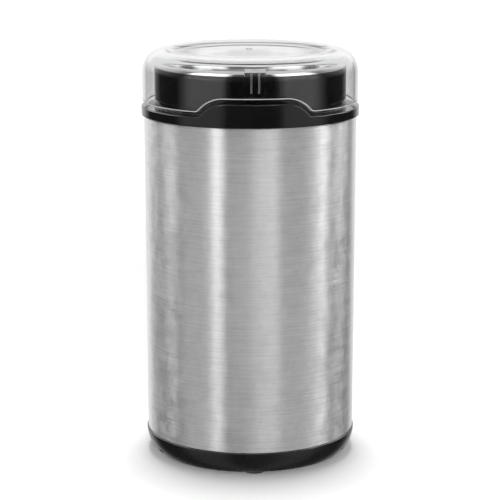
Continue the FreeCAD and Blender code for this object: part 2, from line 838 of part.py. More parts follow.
# blade: a pressed strip, one wing bent up and the other down, with rounded tips
blade_side = doc.addObject("Sketcher::SketchObject", "blade_side")
blade_side.Placement = FreeCAD.Placement(V(0, 0, 0), FreeCAD.Rotation(V(1, 0, 0), 90))
bz, bt, bh = S.blade_z, S.blade_thick, S.blade_half
outline(
    blade_side,
    [
        (-bh, bz + 4.2),
        (-12, bz),
        (13, bz),
        (bh, bz - 2.4),
        (bh, bz - 2.4 + bt),
        (13, bz + bt),
        (-12, bz + bt),
        (-bh, bz + 4.2 + bt),
    ],
)
side_run = doc.addObject("Part::Extrusion", "blade_strip")
side_run.Base = blade_side
side_run.DirMode = "Custom"
side_run.Dir = V(0, 1, 0)
side_run.LengthFwd = 30.0
side_run.Symmetric = True
side_run.Solid = True
blade_plan = doc.addObject("Sketcher::SketchObject", "blade_plan")
blade_plan.Placement = FreeCAD.Placement(V(0, 0, 120), FreeCAD.Rotation())
outline(
    blade_plan,
    [
        (-8, -6.4),
        (8, -6.4, 14.0, "ccw"),
        (bh - 2.5, -5.2),
        (bh - 0.1, -2.4, 3.4, "ccw"),
        (bh - 3.4, 4.6, 10.0, "ccw"),
        (11, 5.6),
        (-8, 6.4, 40.0, "ccw"),
        (-bh + 2.5, 5.2),
        (-bh + 0.1, 2.4, 3.4, "ccw"),
        (-bh + 3.4, -4.6, 10.0, "ccw"),
        (-11, -5.6),
    ],
)
plan_run = doc.addObject("Part::Extrusion", "blade_outline")
plan_run.Base = blade_plan
plan_run.DirMode = "Custom"
plan_run.Dir = V(0, 0, 1)
plan_run.LengthFwd = 40.0
plan_run.Solid = True
blade_raw = doc.addObject("Part::Common", "blade_raw")
blade_raw.Base, blade_raw.Tool = side_run, plan_run
blade_hole = cyl("blade_hole", 0, 0, 120, S.shaft_rad + 0.02, 40)
whole("blade", cut("blade_cut", blade_raw, blade_hole))

nut = Piece("blade_nut")
nut.pad(
    lambda sk: outline(sk, [(5.6 * math.cos(math.radians(60 * k)), 5.6 * math.sin(math.radians(60 * k))) for k in range(6)]),
    3.6,
    lift=S.blade_z + S.blade_thick + 0.8,
)
nut.revolve(
    [
        (0, S.blade_z + S.blade_thick + 4.0),
        (4.6, S.blade_z + S.blade_thick + 4.0),
        (4.6, S.blade_z + S.blade_thick + 4.8),
        (0, S.blade_z + S.blade_thick + 8.6, (4.6 ** 2 + 3.8 ** 2) / (2 * 3.8), "ccw"),
    ]
)
nut.revolve(
    [
        (3.02, S.blade_z + S.blade_thick + 0.02),
        (6.6, S.blade_z + S.blade_thick + 0.02),
        (6.6, S.blade_z + S.blade_thick + 0.9),
        (3.02, S.blade_z + S.blade_thick + 0.9),
    ]
)
nut.pocket(lambda sk: circle(sk, 0, 0, 3.02), 6.0, lift=S.blade_z + S.blade_thick - 0.2, back=True)

arm = Piece("armature_core")
arm.revolve(
    [(3.02, S.stack_low), (S.armature_rad, S.stack_low), (S.armature_rad, S.stack_top), (3.02, S.stack_top)]
)
slotc = arm.pocket(lambda sk: rect(sk, 8.4, -1.6, 15.0, 1.6), 40.0, lift=S.stack_low - 2.0, back=True)
arm.polar(slotc, 12, grows=False)
mouth = arm.pocket(lambda sk: rect(sk, 14.5, -0.7, 17.0, 0.7), 40.0, lift=S.stack_low - 2.0, back=True)
arm.polar(mouth, 12, grows=False)

wind = Piece("armature_windings")
wind.revolve(
    [
        (6.2, S.stack_top + 0.3),
        (14.6, S.stack_top + 0.3),
        (14.6, S.stack_top + 3.4),
        (11.6, S.stack_top + 6.4, 3.0, "ccw"),
        (8.4, S.stack_top + 6.4),
        (6.2, S.stack_top + 4.2, 2.2, "ccw"),
    ]
)
bar = wind.pad(lambda sk: rect(sk, 8.7, -1.35, 14.5, 1.35), S.stack_top - S.stack_low + 1.2, lift=S.stack_low - 0.6)
wind.polar(bar, 12)
wind.revolve(
    [
        (6.2, S.stack_low - 4.2),
        (8.4, S.stack_low - 6.4, 2.2, "ccw"),
        (11.6, S.stack_low - 6.4),
        (14.6, S.stack_low - 3.4, 3.0, "ccw"),
        (14.6, S.stack_low - 0.3),
        (6.2, S.stack_low - 0.3),
    ]
)

comm = Piece("commutator")
comm.revolve([(3.02, 44), (8.5, 44), (8.5, 55), (9.9, 55), (9.9, 57), (3.02, 57)])
bars = comm.pocket(lambda sk: rect(sk, 7.4, -0.25, 12.0, 0.25), 20.0, lift=42.0, back=True)
comm.polar(bars, 12, grows=False)

fan = Piece("cooling_fan")
fan.revolve(
    [(3.02, 103.2), (7.5, 103.2), (7.5, 104.2), (S.fan_rad, 104.2), (S.fan_rad, 105.4), (7.5, 105.4), (7.5, 106.2), (3.02, 106.2)]
)
fin = fan.pad(
    lambda sk: outline(sk, [(11.0, -1.0), (S.fan_rad - 0.6, 4.6, 22.0, "cw"), (S.fan_rad - 1.3, 5.6), (10.6, 0.0, 20.0, "ccw")]),
    5.6,
    lift=105.2,
)
fan.polar(fin, 11)

# ================================================================ motor frame
upper = Piece("upper_bracket")
upper.revolve(
    [
        (3.6, 108.4),
        (3.6, 106.8),
        (9.2, 108.8),
        (9.2, 113.2),
        (36.5, 113.2),
        (36.5, 116.0),
        (13.2, 116.0),
        (13.2, 118.0),
        (8.0, 121.0),
        (8.0, 131.9),
        (6.02, 131.9),
        (6.02, 127.5),
        (3.6, 127.5),
        (3.6, 119.4),
        (6.0, 119.4),
        (6.0, 108.4),
    ]
)
leg = upper.pad(lambda sk: circle(sk, S.bolt_x, S.bolt_y, 3.6), 18.0, lift=S.stack_top + 0.02)
leg2 = upper.pad(lambda sk: circle(sk, -S.bolt_x, S.bolt_y, 3.6), 18.0, lift=S.stack_top + 0.02)
leg3 = upper.pad(lambda sk: circle(sk, S.bolt_x, -S.bolt_y, 3.6), 18.0, lift=S.stack_top + 0.02)
leg4 = upper.pad(lambda sk: circle(sk, -S.bolt_x, -S.bolt_y, 3.6), 18.0, lift=S.stack_top + 0.02)
for x in (1, -1):
    for y in (1, -1):
        upper.pocket(
            lambda sk, x=x, y=y: circle(sk, S.bolt_x * x, S.bolt_y * y, 1.8), 13.0, lift=S.stack_top, back=True
        )
drill = upper.pocket(lambda sk: circle(sk, S.motor_circle, 0, 1.7), 10.0, lift=110.0, back=True)
upper.polar(drill, 4, grows=False)
air = upper.pocket(
    lambda sk: outline(sk, [(15.5, -4.5), (20.5, -6.0), (20.5, 6.0, 21.4, "ccw"), (15.5, 4.5)]), 10.0, lift=110.0, back=True
)
upper.polar(air, 4, grows=False)

lower = Piece("lower_bracket")
lower.pad(
    lambda sk: outline(
        sk,
        [(-27, -25), (27, -25), (30, -22), (30, 22), (27, 25), (-27, 25), (-30, 22), (-30, -22)],
    ),
    3.0,
    lift=36.0,
)
lower.revolve([(3.6, 28.0), (9.0, 28.0), (9.0, 36.2), (12.0, 39.4), (3.6, 39.4)])
lower.pocket(lambda sk: circle(sk, 0, 0, 6.0), 8.6, lift=29.4, back=True)
lower.pocket(lambda sk: circle(sk, 0, 0, 3.6), 8.0, lift=33.0, back=True)
for x in (1, -1):
    for y in (1, -1):
        lower.pad(
            lambda sk, x=x, y=y: circle(sk, S.bolt_x * x, S.bolt_y * y, 3.6), S.stack_low - 38.0 - 0.02, lift=38.0
        )
for y in (1, -1):
    lower.pad(
        lambda sk, y=y: rect(sk, -4.2, 15.0 if y > 0 else -22.0, 4.2, 22.0 if y > 0 else -15.0), 8.4, lift=38.0
    )
for x in (1, -1):
    for y in (1, -1):
        lower.pocket(
            lambda sk, x=x, y=y: circle(sk, S.bolt_x * x, S.bolt_y * y, 1.85), 34.0, lift=34.0, back=True
        )
for x in (1, -1):
    lower.pocket(lambda sk, x=x: rect(sk, 14.0 if x > 0 else -22.0, -9.0, 22.0 if x > 0 else -14.0, 9.0), 8.0, lift=34.0, back=True)

ub = Piece("upper_bearing")
ub.revolve([(S.shaft_rad + 0.03, 108.6), (5.95, 108.6), (5.95, 119.2), (S.shaft_rad + 0.03, 119.2)])
lb = Piece("lower_bearing")
lb.revolve([(S.shaft_rad + 0.03, 29.5), (5.95, 29.5), (5.95, 37.9), (S.shaft_rad + 0.03, 37.9)])

# stator: a square frame with two poles, cut for the coils
stator = Piece("stator_core")
hx, hy = S.stator_x / 2, S.stator_y / 2
stator.pad(
    lambda sk: outline(
        sk,
        [
            (-hx + 3, -hy),
            (hx - 3, -hy),
            (hx, -hy + 3),
            (hx, hy - 3),
            (hx - 3, hy),
            (-hx + 3, hy),
            (-hx, hy - 3),
            (-hx, -hy + 3),
        ],
    ),
    S.stack_top - S.stack_low,
    lift=S.stack_low,
)
stator.pocket(lambda sk: circle(sk, 0, 0, S.stator_bore), 60.0, lift=S.stack_low - 2, back=True)
for x in (1, -1):
    for y in (1, -1):
        # one winding window in each quarter, between pole neck, pole shoe and frame
        pts = [(19.9, 8.1), (25.0, 8.1), (25.0, 15.9), (19.0, 15.9), (19.0, 20.0), (4.0, 20.0), (4.0, 16.15)]
        arc_end = (10.0, 17.0)
        pts = [(x * a, y * b) for a, b in pts]
        shoe = [(x * 9.6, y * 17.2), (x * 16.6, y * 10.6)]
        loop = pts + shoe
        if x * y < 0:
            loop = [loop[0]] + loop[:0:-1]
        stator.pocket(lambda sk, loop=loop: outline(sk, loop), 60.0, lift=S.stack_low - 2, back=True)
        stator.pocket(
            lambda sk, x=x, y=y: circle(sk, S.bolt_x * x, S.bolt_y * y, 1.85), 60.0, lift=S.stack_low - 2, back=True
        )

# field coils: one round each pole neck
coils = []
for x, tag in ((1, "right"), (-1, "left")):
    x0 = 20.2 if x > 0 else -24.7
    outer = box("coil_outer_" + tag, x0, -15.5, S.stack_low - 5.5, 4.5, 31.0, S.stack_top - S.stack_low + 11.0)
    inner = box("coil_inner_" + tag, x0 - 1, -8.4, S.stack_low - 0.4, 7.0, 16.8, S.stack_top - S.stack_low + 0.8)
    coils.append(cut("coil_" + tag, outer, inner))
whole("field_coils", compound("coil_pair", *coils))

# through bolts
bolts = []
for i, (x, y) in enumerate(((1, 1), (1, -1), (-1, 1), (-1, -1))):
    head = cyl("bolt_head_%d" % i, S.bolt_x * x, S.bolt_y * y, 33.2, 3.1, 2.78)
    body_ = cyl("bolt_shank_%d" % i, S.bolt_x * x, S.bolt_y * y, 35.5, 1.7, 72.5)
    bolts.append(fuse("bolt_%d" % i, head, body_))
whole("through_bolts", compound("bolt_set", *bolts))

# brush gear, front and back of the commutator
holders, brushes, caps = [], [], []
for y, tag in ((1, "back"), (-1, "front")):
    y0 = 9.6 if y > 0 else -24.0
    tube = box("brush_tube_" + tag, -3.4, y0, 46.5, 6.8, 14.4, 6.8)
    hollow = box("brush_hollow_" + tag, -2.6, y0 - 1, 47.3, 5.2, 17.0, 5.2)
    holders.append(cut("brush_holder_" + tag, tube, hollow))
    yb = 8.75 if y > 0 else -18.0
    brushes.append(box("brush_" + tag, -2.45, yb, 47.45, 4.9, 9.25, 4.9))
    yc = 24.1 if y > 0 else -25.5
    caps.append(box("brush_cap_" + tag, -3.4, yc, 46.5, 6.8, 1.4, 6.8))
whole("brush_holders", compound("brush_holder_pair", *holders))
whole("carbon_brushes", compound("brush_pair", *brushes))
whole("brush_caps", compound("brush_cap_pair", *caps))


def coil_spring(radius, wire, turns, length, base, direction):
    """A wound spring: a round wire swept along a helix."""
    pitch = length / turns
    helix = Part.makeHelix(pitch, length, radius)
    section = Part.Wire([Part.Edge(Part.Circle(V(radius, 0, 0), V(0, 1, 0), wire / 2))])
    tube = Part.Wire(helix).makePipeShell([section], True, True)
    tube.Placement = FreeCAD.Placement(V(*base), FreeCAD.Rotation(V(0, 0, 1), V(*direction)))
    return Part.makeCompound([tube])


whole_springs = Part.makeCompound(
    [
        coil_spring(1.7, 0.4, 6, 5.2, (0, 18.3, 49.9), (0, 1, 0)),
        coil_spring(1.7, 0.4, 6, 5.2, (0, -18.3, 49.9), (0, -1, 0)),
    ]
)
shape_node("brush_springs", whole_springs)

fuse_body = cyl("fuse_can", 22.4, -5.0, S.stack_low - 5.5 - 2.15, 2.0, 10.0, ((1, 0, 0), -90))
whole("thermal_fuse", fuse_body)

# rubber and screws between the motor and the housing
pads, screws = [], []
for i in range(4):
    a = math.radians(90 * i)
    x, y = S.motor_circle * round(math.cos(a)), S.motor_circle * round(math.sin(a))
    pad_o = cyl("damper_outer_%d" % i, x, y, 116.04, 3.4, 2.92)
    pad_i = cyl("damper_inner_%d" % i, x, y, 115.0, 1.75, 5.0)
    pads.append(cut("damper_%d" % i, pad_o, pad_i))
    head = cyl("motor_screw_head_%d" % i, x, y, 110.9, 3.0, 2.26)
    shank = cyl("motor_screw_shank_%d" % i, x, y, 113.0, 1.25, 9.5)
    screws.append(fuse("motor_screw_%d" % i, head, shank))
whole("motor_dampers", compound("damper_set", *pads))
whole("motor_screws", compound("motor_screw_set", *screws))

mount = Piece("lower_motor_mount")
mount.revolve(
    [
        (4.5, 22.0),
        (S.cup_in - 0.05, 22.0),
        (S.cup_in - 0.05, 27.0),
        (S.cup_in + 1.6, 27.6),
        (S.cup_in + 1.6, 29.4),
        (9.05, 31.0),
        (9.05, 27.96),
        (4.5, 27.96),
    ]
)
mount.pad(lambda sk: circle(sk, 0, 0, 13.0), 1.0, lift=21.0)
rib_seat = mount.pad(
    lambda sk: outline(sk, [(9.0, -1.2), (13.0, -1.2), (13.0, 1.2), (9.0, 1.2)]), 17.6, lift=S.base_floor + 0.05
)
mount.polar(rib_seat, 3)

# ================================================================ base hardware
feet, base_screws = [], []
for i in range(4):
    a = math.radians(90 * i)
    fx, fy = VALUE["foot_circle"] * math.cos(a), VALUE["foot_circle"] * math.sin(a)
    disc = prim(
        "Part::Cylinder", "foot_disc_%d" % i, (S.foot_circle * round(math.cos(a)), S.foot_circle * round(math.sin(a)), 0.5), None,
        Radius=S.foot_rad, Height=1.68,
    )
    sole = prim(
        "Part::Cone", "foot_sole_%d" % i, (S.foot_circle * round(math.cos(a)), S.foot_circle * round(math.sin(a)), 0), None,
        Radius1=S.foot_rad - 0.5, Radius2=S.foot_rad, Height=0.5,
    )
    stem_ = cyl("foot_stem_%d" % i, S.foot_circle * round(math.cos(a)), S.foot_circle * round(math.sin(a)), 2.0, 1.7, 3.4)
    feet.append(fuse("foot_%d" % i, disc, sole, stem_))
    c = math.radians(45 + 90 * i)
    k = math.sqrt(0.5)
    sxx, syy = S.screw_circle * (k if math.cos(c) > 0 else -k), S.screw_circle * (k if math.sin(c) > 0 else -k)
    head = cyl("base_screw_head_%d" % i, sxx, syy, 1.45, 3.0, 1.9)
    shank = cyl("base_screw_shank_%d" % i, sxx, syy, 3.0, 1.4, 18.0)
    cross1 = prim("Part::Box", "base_screw_slot_a_%d" % i, (sxx - 1.9, syy - 0.35, 1.0), None, Length=3.8, Width=0.7, Height=1.5)
    cross2 = prim("Part::Box", "base_screw_slot_b_%d" % i, (sxx - 0.35, syy - 1.9, 1.0), None, Length=0.7, Width=3.8, Height=1.5)
    base_screws.append(
        cut("base_screw_%d" % i, fuse("base_screw_blank_%d" % i, head, shank), fuse("base_screw_cross_%d" % i, cross1, cross2))
    )
whole("rubber_feet", compound("foot_set", *feet))
whole("base_screws", compound("base_screw_set", *base_screws))

outlet = Piece("cord_outlet_bush")
sk_pts = [
    (S.outlet_bore, 41.2),
    (6.2, 41.2),
    (6.2, 42.6),
    (S.outlet_bore + 1.4, 42.6),
    (S.outlet_bore + 1.4, 46.45),
    (6.2, 46.45),
    (6.2, 46.9),
    (5.6, 47.4, 0.6, "ccw"),
    (S.outlet_bore + 0.4, 47.4),
    (S.outlet_bore, 47.0, 0.4, "ccw"),
]
outlet.revolve(sk_pts, role="XY_Plane", axis="V_Axis")
outlet.body.setExpression("Placement.Base.z", "dims.outlet_z")
doc.recompute()

# ================================================================ switch train
rod = Piece("push_rod")
rod.pad(lambda sk: rect(sk, -4.2, -44.0, 4.2, -42.45), 7.0, lift=148.0)
rod.pad(lambda sk: rect(sk, -2.5, -44.0, 2.5, -38.3), 2.0, lift=148.0)
rod.pad(lambda sk: circle(sk, 0, -S.rod_y, S.rod_rad), 148.5 - S.rod_low, lift=S.rod_low)

spring = coil_spring(1.78, 0.4, 10, 23.2, (0, -40.2, 124.45), (0, 0, 1))
shape_node("return_spring", spring)

switch = Piece("microswitch_body")
switch.pad(lambda sk: rect(sk, -11.9, -41.2, 7.9, -34.8), 10.2, lift=94.0)
for y0 in (-41.2, -35.5):
    switch.pad(lambda sk, y0=y0: rect(sk, -11.7, y0, -9.1, y0 + 0.7), 2.2, lift=104.0)
switch.pad(lambda sk: circle(sk, -10.4, 105.2, 0.3), 5.2, role="XZ_Plane", lift=35.4)
for x in (-6.75, 2.75):
    switch.pocket(lambda sk, x=x: circle(sk, x, 97.0, 1.2), 8.0, role="XZ_Plane", lift=34.0, back=True)
switch.pocket(lambda sk: rect(sk, -7.8, -39.0, -5.8, -37.0), 1.6, lift=104.2)
for x in (-9.9, -2.0, 5.9):
    switch.pad(lambda sk, x=x: rect(sk, x - 0.25, -39.6, x + 0.25, -36.4), 4.5, lift=89.6)

button = Piece("microswitch_button")
button.pad(lambda sk: rect(sk, -7.6, -38.8, -6.0, -37.2), 1.8, lift=103.4)

# lever: a thin steel strip that leans up from its knuckle
lever = Piece("microswitch_lever")
tilt = math.radians(9.0)
px, pz = -10.4, 105.2
ct, st = math.cos(tilt), math.sin(tilt)


def along(u, w):
    return (px + u * ct - w * st, pz + u * st + w * ct)


lever.pad(
    lambda sk: outline(sk, [along(0.4, -0.2), along(12.6, -0.2), along(12.6, 0.2), along(0.4, 0.2)]),
    4.2,
    role="XZ_Plane",
    lift=35.9,
)
lever.pad(lambda sk: circle(sk, px, pz, 0.75), 4.2, role="XZ_Plane", lift=35.9)
lever.pocket(lambda sk: circle(sk, px, pz, 0.36), 8.0, role="XZ_Plane", lift=34.0, back=True)

sw_screws = []
for i, x in enumerate((-6.75, 2.75)):
    head = cyl("switch_screw_head_%d" % i, x, -34.75, 97.0, 2.0, 1.4, ((1, 0, 0), -90))
    shank = cyl("switch_screw_shank_%d" % i, x, -43.2, 97.0, 1.1, 9.0, ((1, 0, 0), -90))
    sw_screws.append(fuse("switch_screw_%d" % i, head, shank))
whole("microswitch_screws", compound("switch_screw_set", *sw_screws))

# ================================================================ wiring inside
block = Piece("terminal_block")
block.pad(lambda sk: rect(sk, -9.0, 33.0, 9.0, 40.5), 9.0, lift=44.0)
for x in (-4.5, 4.5):
    block.pocket(lambda sk, x=x: circle(sk, x, 36.8, 1.9), 3.0, lift=53.0)
    block.pocket(lambda sk, x=x: circle(sk, x, 48.5, 1.3), 9.0, role="XZ_Plane", lift=-32.5)


block_screws = []
for i, x in enumerate((-4.5, 4.5)):
    head = cyl("block_screw_head_%d" % i, x, 31.6, 48.5, 2.1, 1.35, ((1, 0, 0), -90))
    shank = cyl("block_screw_shank_%d" % i, x, 32.5, 48.5, 1.15, 10.6, ((1, 0, 0), -90))
    block_screws.append(fuse("block_screw_%d" % i, head, shank))
whole("terminal_screws", compound("block_screw_set", *block_screws))


def lead(points, radius):
    """An insulated wire: straight runs joined by tangent arcs, as large as the runs allow."""
    pts = [V(*p) for p in points]
    edges, last = [], pts[0]
    for i in range(1, len(pts) - 1):
        a, b, c = pts[i - 1], pts[i], pts[i + 1]
        u, w = (a - b).normalize(), (c - b).normalize()
        turn = math.pi - u.getAngle(w)
        reach = 0.45 * min(a.distanceToPoint(b), b.distanceToPoint(c))
        p, q = b + u * reach, b + w * reach
        r = reach / math.tan(turn / 2)
        print("lead bend radius %.1f" % r)
        mid_dir = (u + w).normalize()
        centre = b + mid_dir * (r / math.cos(turn / 2))
        mid = centre - mid_dir * r
        edges.append(Part.LineSegment(last, p).toShape())
        edges.append(Part.Arc(p, mid, q).toShape())
        last = q
    edges.append(Part.LineSegment(last, pts[-1]).toShape())
    path = Part.Wire(edges)
    start = edges[0].tangentAt(edges[0].FirstParameter)
    ring = Part.Wire([Part.Edge(Part.Circle(pts[0], start, radius))])
    tube = path.makePipeShell([ring], True, False)
    print("lead volume %.1f, section times length %.1f" % (tube.Volume, math.pi * radius ** 2 * path.Length))
    return tube


leads = [
    # terminal block to the switch, up the side of the motor
    lead([(7.5, 40.6, 60.0), (12.0, 39.0, 66.0), (24.0, 32.5, 72.0), (35.5, 19.0, 78.0), (39.8, 2.0, 82.0), (36.5, -16.0, 84.0), (25.0, -31.0, 85.5), (12.0, -38.0, 86.3), (6.2, -38.0, 88.2)], 0.9),
    # switch to the front brush cap
    lead([(-9.9, -38.2, 88.6), (-11.0, -37.2, 82.0), (-9.0, -34.0, 72.0), (-5.0, -31.5, 62.0), (0.0, -29.0, 55.0), (0.0, -26.6, 50.0)], 0.9),
    # terminal block to the back brush cap
    lead([(-4.5, 36.8, 53.4), (-4.5, 36.8, 57.0), (-3.0, 34.0, 59.5), (-1.5, 30.0, 57.5), (0.0, 27.6, 53.5), (0.0, 26.6, 50.5)], 0.9),
]
shape_node("internal_leads", Part.makeCompound(leads))

# ================================================================ check and write
doc.recompute()
for o in doc.Objects:
    if "Invalid" in o.State or "Error" in o.State:
        raise RuntimeError("%s is %s" % (o.Name, o.State))
names = set()
for label, o in BUILT:
    s = o.Shape
    if s.isNull() or not s.isValid() or not s.Solids:
        raise RuntimeError("%s has a bad shape" % label)
    if label in names:
        raise RuntimeError("two nodes named " + label)
    names.add(label)
for f in os.listdir("parts"):
    if f.endswith(".step"):
        os.remove(os.path.join("parts", f))
for label, o in BUILT:
    o.Shape.exportStep("parts/%s.step" % label)
    bb = o.Shape.BoundBox
    print(
        "%-20s solids %2d  volume %9.1f  x %6.2f %6.2f  y %6.2f %6.2f  z %6.2f %6.2f"
        % (label, len(o.Shape.Solids), o.Shape.Volume, bb.XMin, bb.XMax, bb.YMin, bb.YMax, bb.ZMin, bb.ZMax)
    )
print("collar edge:", COLLAR_EDGE)
print(len(BUILT), "nodes written")
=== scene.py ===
"""Press-lid spice grinder: finishes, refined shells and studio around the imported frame. Metres, +Z up, front at -Y."""

import bpy
import bmesh
import json
import math
import numpy as np
from mathutils import Matrix, Vector


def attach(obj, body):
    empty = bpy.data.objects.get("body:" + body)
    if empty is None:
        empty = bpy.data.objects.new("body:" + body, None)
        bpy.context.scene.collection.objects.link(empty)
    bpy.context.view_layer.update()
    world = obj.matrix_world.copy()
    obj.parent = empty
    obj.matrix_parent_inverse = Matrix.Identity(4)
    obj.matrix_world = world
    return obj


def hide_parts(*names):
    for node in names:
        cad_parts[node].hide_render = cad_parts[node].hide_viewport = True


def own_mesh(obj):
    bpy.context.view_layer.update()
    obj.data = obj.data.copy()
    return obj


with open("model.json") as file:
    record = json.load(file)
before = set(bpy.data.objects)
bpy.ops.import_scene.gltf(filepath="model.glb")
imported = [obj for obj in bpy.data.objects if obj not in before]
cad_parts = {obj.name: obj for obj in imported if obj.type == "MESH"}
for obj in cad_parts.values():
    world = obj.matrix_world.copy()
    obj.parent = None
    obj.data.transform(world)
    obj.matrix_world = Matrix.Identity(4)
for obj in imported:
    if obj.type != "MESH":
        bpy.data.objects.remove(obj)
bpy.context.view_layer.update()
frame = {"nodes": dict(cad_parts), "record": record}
nodes = frame["nodes"]
MM = 0.001
scene = bpy.context.scene

# ------------------------------------------------------------------ material tools


class Mat:
    """A node material built step by step."""

    def __init__(self, name):
        self.m = bpy.data.materials.new(name)
        self.m.use_nodes = True
        self.t = self.m.node_tree
        self.t.nodes.clear()
        self.out = self.t.nodes.new("ShaderNodeOutputMaterial")
        self.b = self.t.nodes.new("ShaderNodeBsdfPrincipled")
        self.t.links.new(self.b.outputs[0], self.out.inputs[0])

    def node(self, kind, **props):
        n = self.t.nodes.new(kind)
        for k, v in props.items():
            setattr(n, k, v)
        return n

    def put(self, sock, value):
        if isinstance(value, bpy.types.NodeSocket):
            self.t.links.new(value, sock)
        elif value is not None:
            sock.default_value = value

    def set(self, **values):
        names = {
            "color": "Base Color", "metal": "Metallic", "rough": "Roughness", "ior": "IOR", "coat": "Coat Weight",
            "coat_rough": "Coat Roughness", "aniso": "Anisotropic", "aniso_rot": "Anisotropic Rotation",
            "transmission": "Transmission Weight", "spec": "Specular IOR Level", "normal": "Normal", "tangent": "Tangent",
            "alpha": "Alpha", "sheen": "Sheen Weight", "subsurface": "Subsurface Weight",
        }
        for k, v in values.items():
            self.put(self.b.inputs[names[k]], v)
        return self

    def coords(self, scale=(1, 1, 1)):
        tc = self.node("ShaderNodeTexCoord")
        mp = self.node("ShaderNodeMapping")
        mp.inputs["Scale"].default_value = scale
        self.t.links.new(tc.outputs["Object"], mp.inputs["Vector"])
        return mp.outputs[0]

    def noise(self, scale, stretch=(1, 1, 1), detail=3.0, rough=0.55, vec=None, distortion=0.0):
        n = self.node("ShaderNodeTexNoise")
        n.inputs["Scale"].default_value = scale
        n.inputs["Detail"].default_value = detail
        n.inputs["Roughness"].default_value = rough
        n.inputs["Distortion"].default_value = distortion
        self.t.links.new(vec if vec is not None else self.coords(stretch), n.inputs["Vector"])
        return n.outputs["Fac"]

    def span(self, value, a, b, c, d):
        r = self.node("ShaderNodeMapRange")
        r.inputs["From Min"].default_value = a
        r.inputs["From Max"].default_value = b
        r.inputs["To Min"].default_value = c
        r.inputs["To Max"].default_value = d
        self.t.links.new(value, r.inputs["Value"])
        return r.outputs[0]

    def ramp(self, value, *stops):
        r = self.node("ShaderNodeValToRGB")
        el = r.color_ramp.elements
        while len(el) < len(stops):
            el.new(0.5)
        for e, (pos, col) in zip(el, stops):
            e.position = pos
            e.color = (*col, 1) if hasattr(col, "__len__") else (col, col, col, 1)
        self.t.links.new(value, r.inputs["Fac"])
        return r.outputs[0]

    def math(self, op, a, b=None):
        n = self.node("ShaderNodeMath", operation=op)
        self.put(n.inputs[0], a)
        if b is not None:
            self.put(n.inputs[1], b)
        return n.outputs[0]

    def mix(self, fac, a, b):
        n = self.node("ShaderNodeMix", data_type="RGBA")
        self.put(n.inputs["Factor"], fac)
        self.put(n.inputs[6], a)
        self.put(n.inputs[7], b)
        return n.outputs[2]

    def bump(self, height, strength, distance, below=None):
        n = self.node("ShaderNodeBump")
        n.inputs["Strength"].default_value = strength
        n.inputs["Distance"].default_value = distance
        self.t.links.new(height, n.inputs["Height"])
        if below is not None:
            self.t.links.new(below, n.inputs["Normal"])
        return n.outputs[0]

    def round_tangent(self):
        t = self.node("ShaderNodeTangent", direction_type="RADIAL", axis="Z")
        return t.outputs[0]

    def rings(self, scale, detail=4.0, z_share=1.0):
        """Noise that only changes with distance from the axis and with height: turning marks."""
        sep = self.node("ShaderNodeSeparateXYZ")
        tc = self.node("ShaderNodeTexCoord")
        self.t.links.new(tc.outputs["Object"], sep.inputs[0])
        rr = self.math("SQRT", self.math("ADD", self.math("MULTIPLY", sep.outputs[0], sep.outputs[0]), self.math("MULTIPLY", sep.outputs[1], sep.outputs[1])))
        cmb = self.node("ShaderNodeCombineXYZ")
        self.t.links.new(rr, cmb.inputs[0])
        self.t.links.new(self.math("MULTIPLY", sep.outputs[2], z_share), cmb.inputs[2])
        return self.noise(scale, detail=detail, vec=cmb.outputs[0])


def rgb(v):
    return (v[0], v[1], v[2], 1.0) if hasattr(v, "__len__") else (v, v, v, 1.0)


def plastic(name, color, rough, grain=3500.0, grain_depth=0.000006, vary=0.06, spec=0.5, coat=0.0):
    """Moulded plastic: fine skin grain, slow gloss changes, faint colour mottling."""
    m = Mat(name)
    slow = m.noise(70.0, detail=4.0)
    fine = m.noise(grain, detail=2.0)
    scuff = m.noise(900.0, stretch=(1, 1, 0.25), detail=5.0, rough=0.7)
    base = m.mix(m.span(slow, 0.3, 0.7, 0, 1), rgb(color), rgb([min(1.0, c * 1.22 + 0.0015) for c in color]))
    r = m.math("ADD", m.span(slow, 0.3, 0.7, rough - vary * 0.5, rough + vary * 0.5), m.span(scuff, 0.58, 0.8, 0.0, vary))
    nrm = m.bump(fine, 0.35, grain_depth)
    m.set(color=base, rough=r, spec=spec, normal=nrm, coat=coat)
    return m.m


def clear_plastic():
    m = Mat("clear_plastic")
    slow = m.noise(26.0, detail=2.0)
    hair = m.noise(420.0, stretch=(1, 1, 0.2), detail=5.0, rough=0.75)
    r = m.math("ADD", m.span(slow, 0.3, 0.7, 0.0, 0.02), m.span(hair, 0.62, 0.8, 0.0, 0.05))
    tint = m.mix(m.span(slow, 0.2, 0.8, 0, 1), rgb((0.955, 0.957, 0.96)), rgb((0.94, 0.943, 0.947)))
    nrm = m.bump(slow, 0.1, 0.00002)
    m.set(color=tint, rough=r, ior=1.36, transmission=1.0, normal=nrm)
    return m.m


def lid_edge_painted_highlight(name, through):
    """Painted highlight: a pale, partly clear finish on the lid's narrow edges. It stands in for the light that runs
    inside the wall and comes out there.
    """
    m = Mat(name)
    g = m.noise(900.0, detail=3.0)
    base = m.mix(m.span(g, 0.3, 0.7, 0, 1), rgb(0.86), rgb(0.95))
    m.set(color=base, rough=m.span(g, 0.3, 0.7, 0.3, 0.45), transmission=through, ior=1.4, normal=m.bump(g, 0.2, 0.00001))
    return m.m


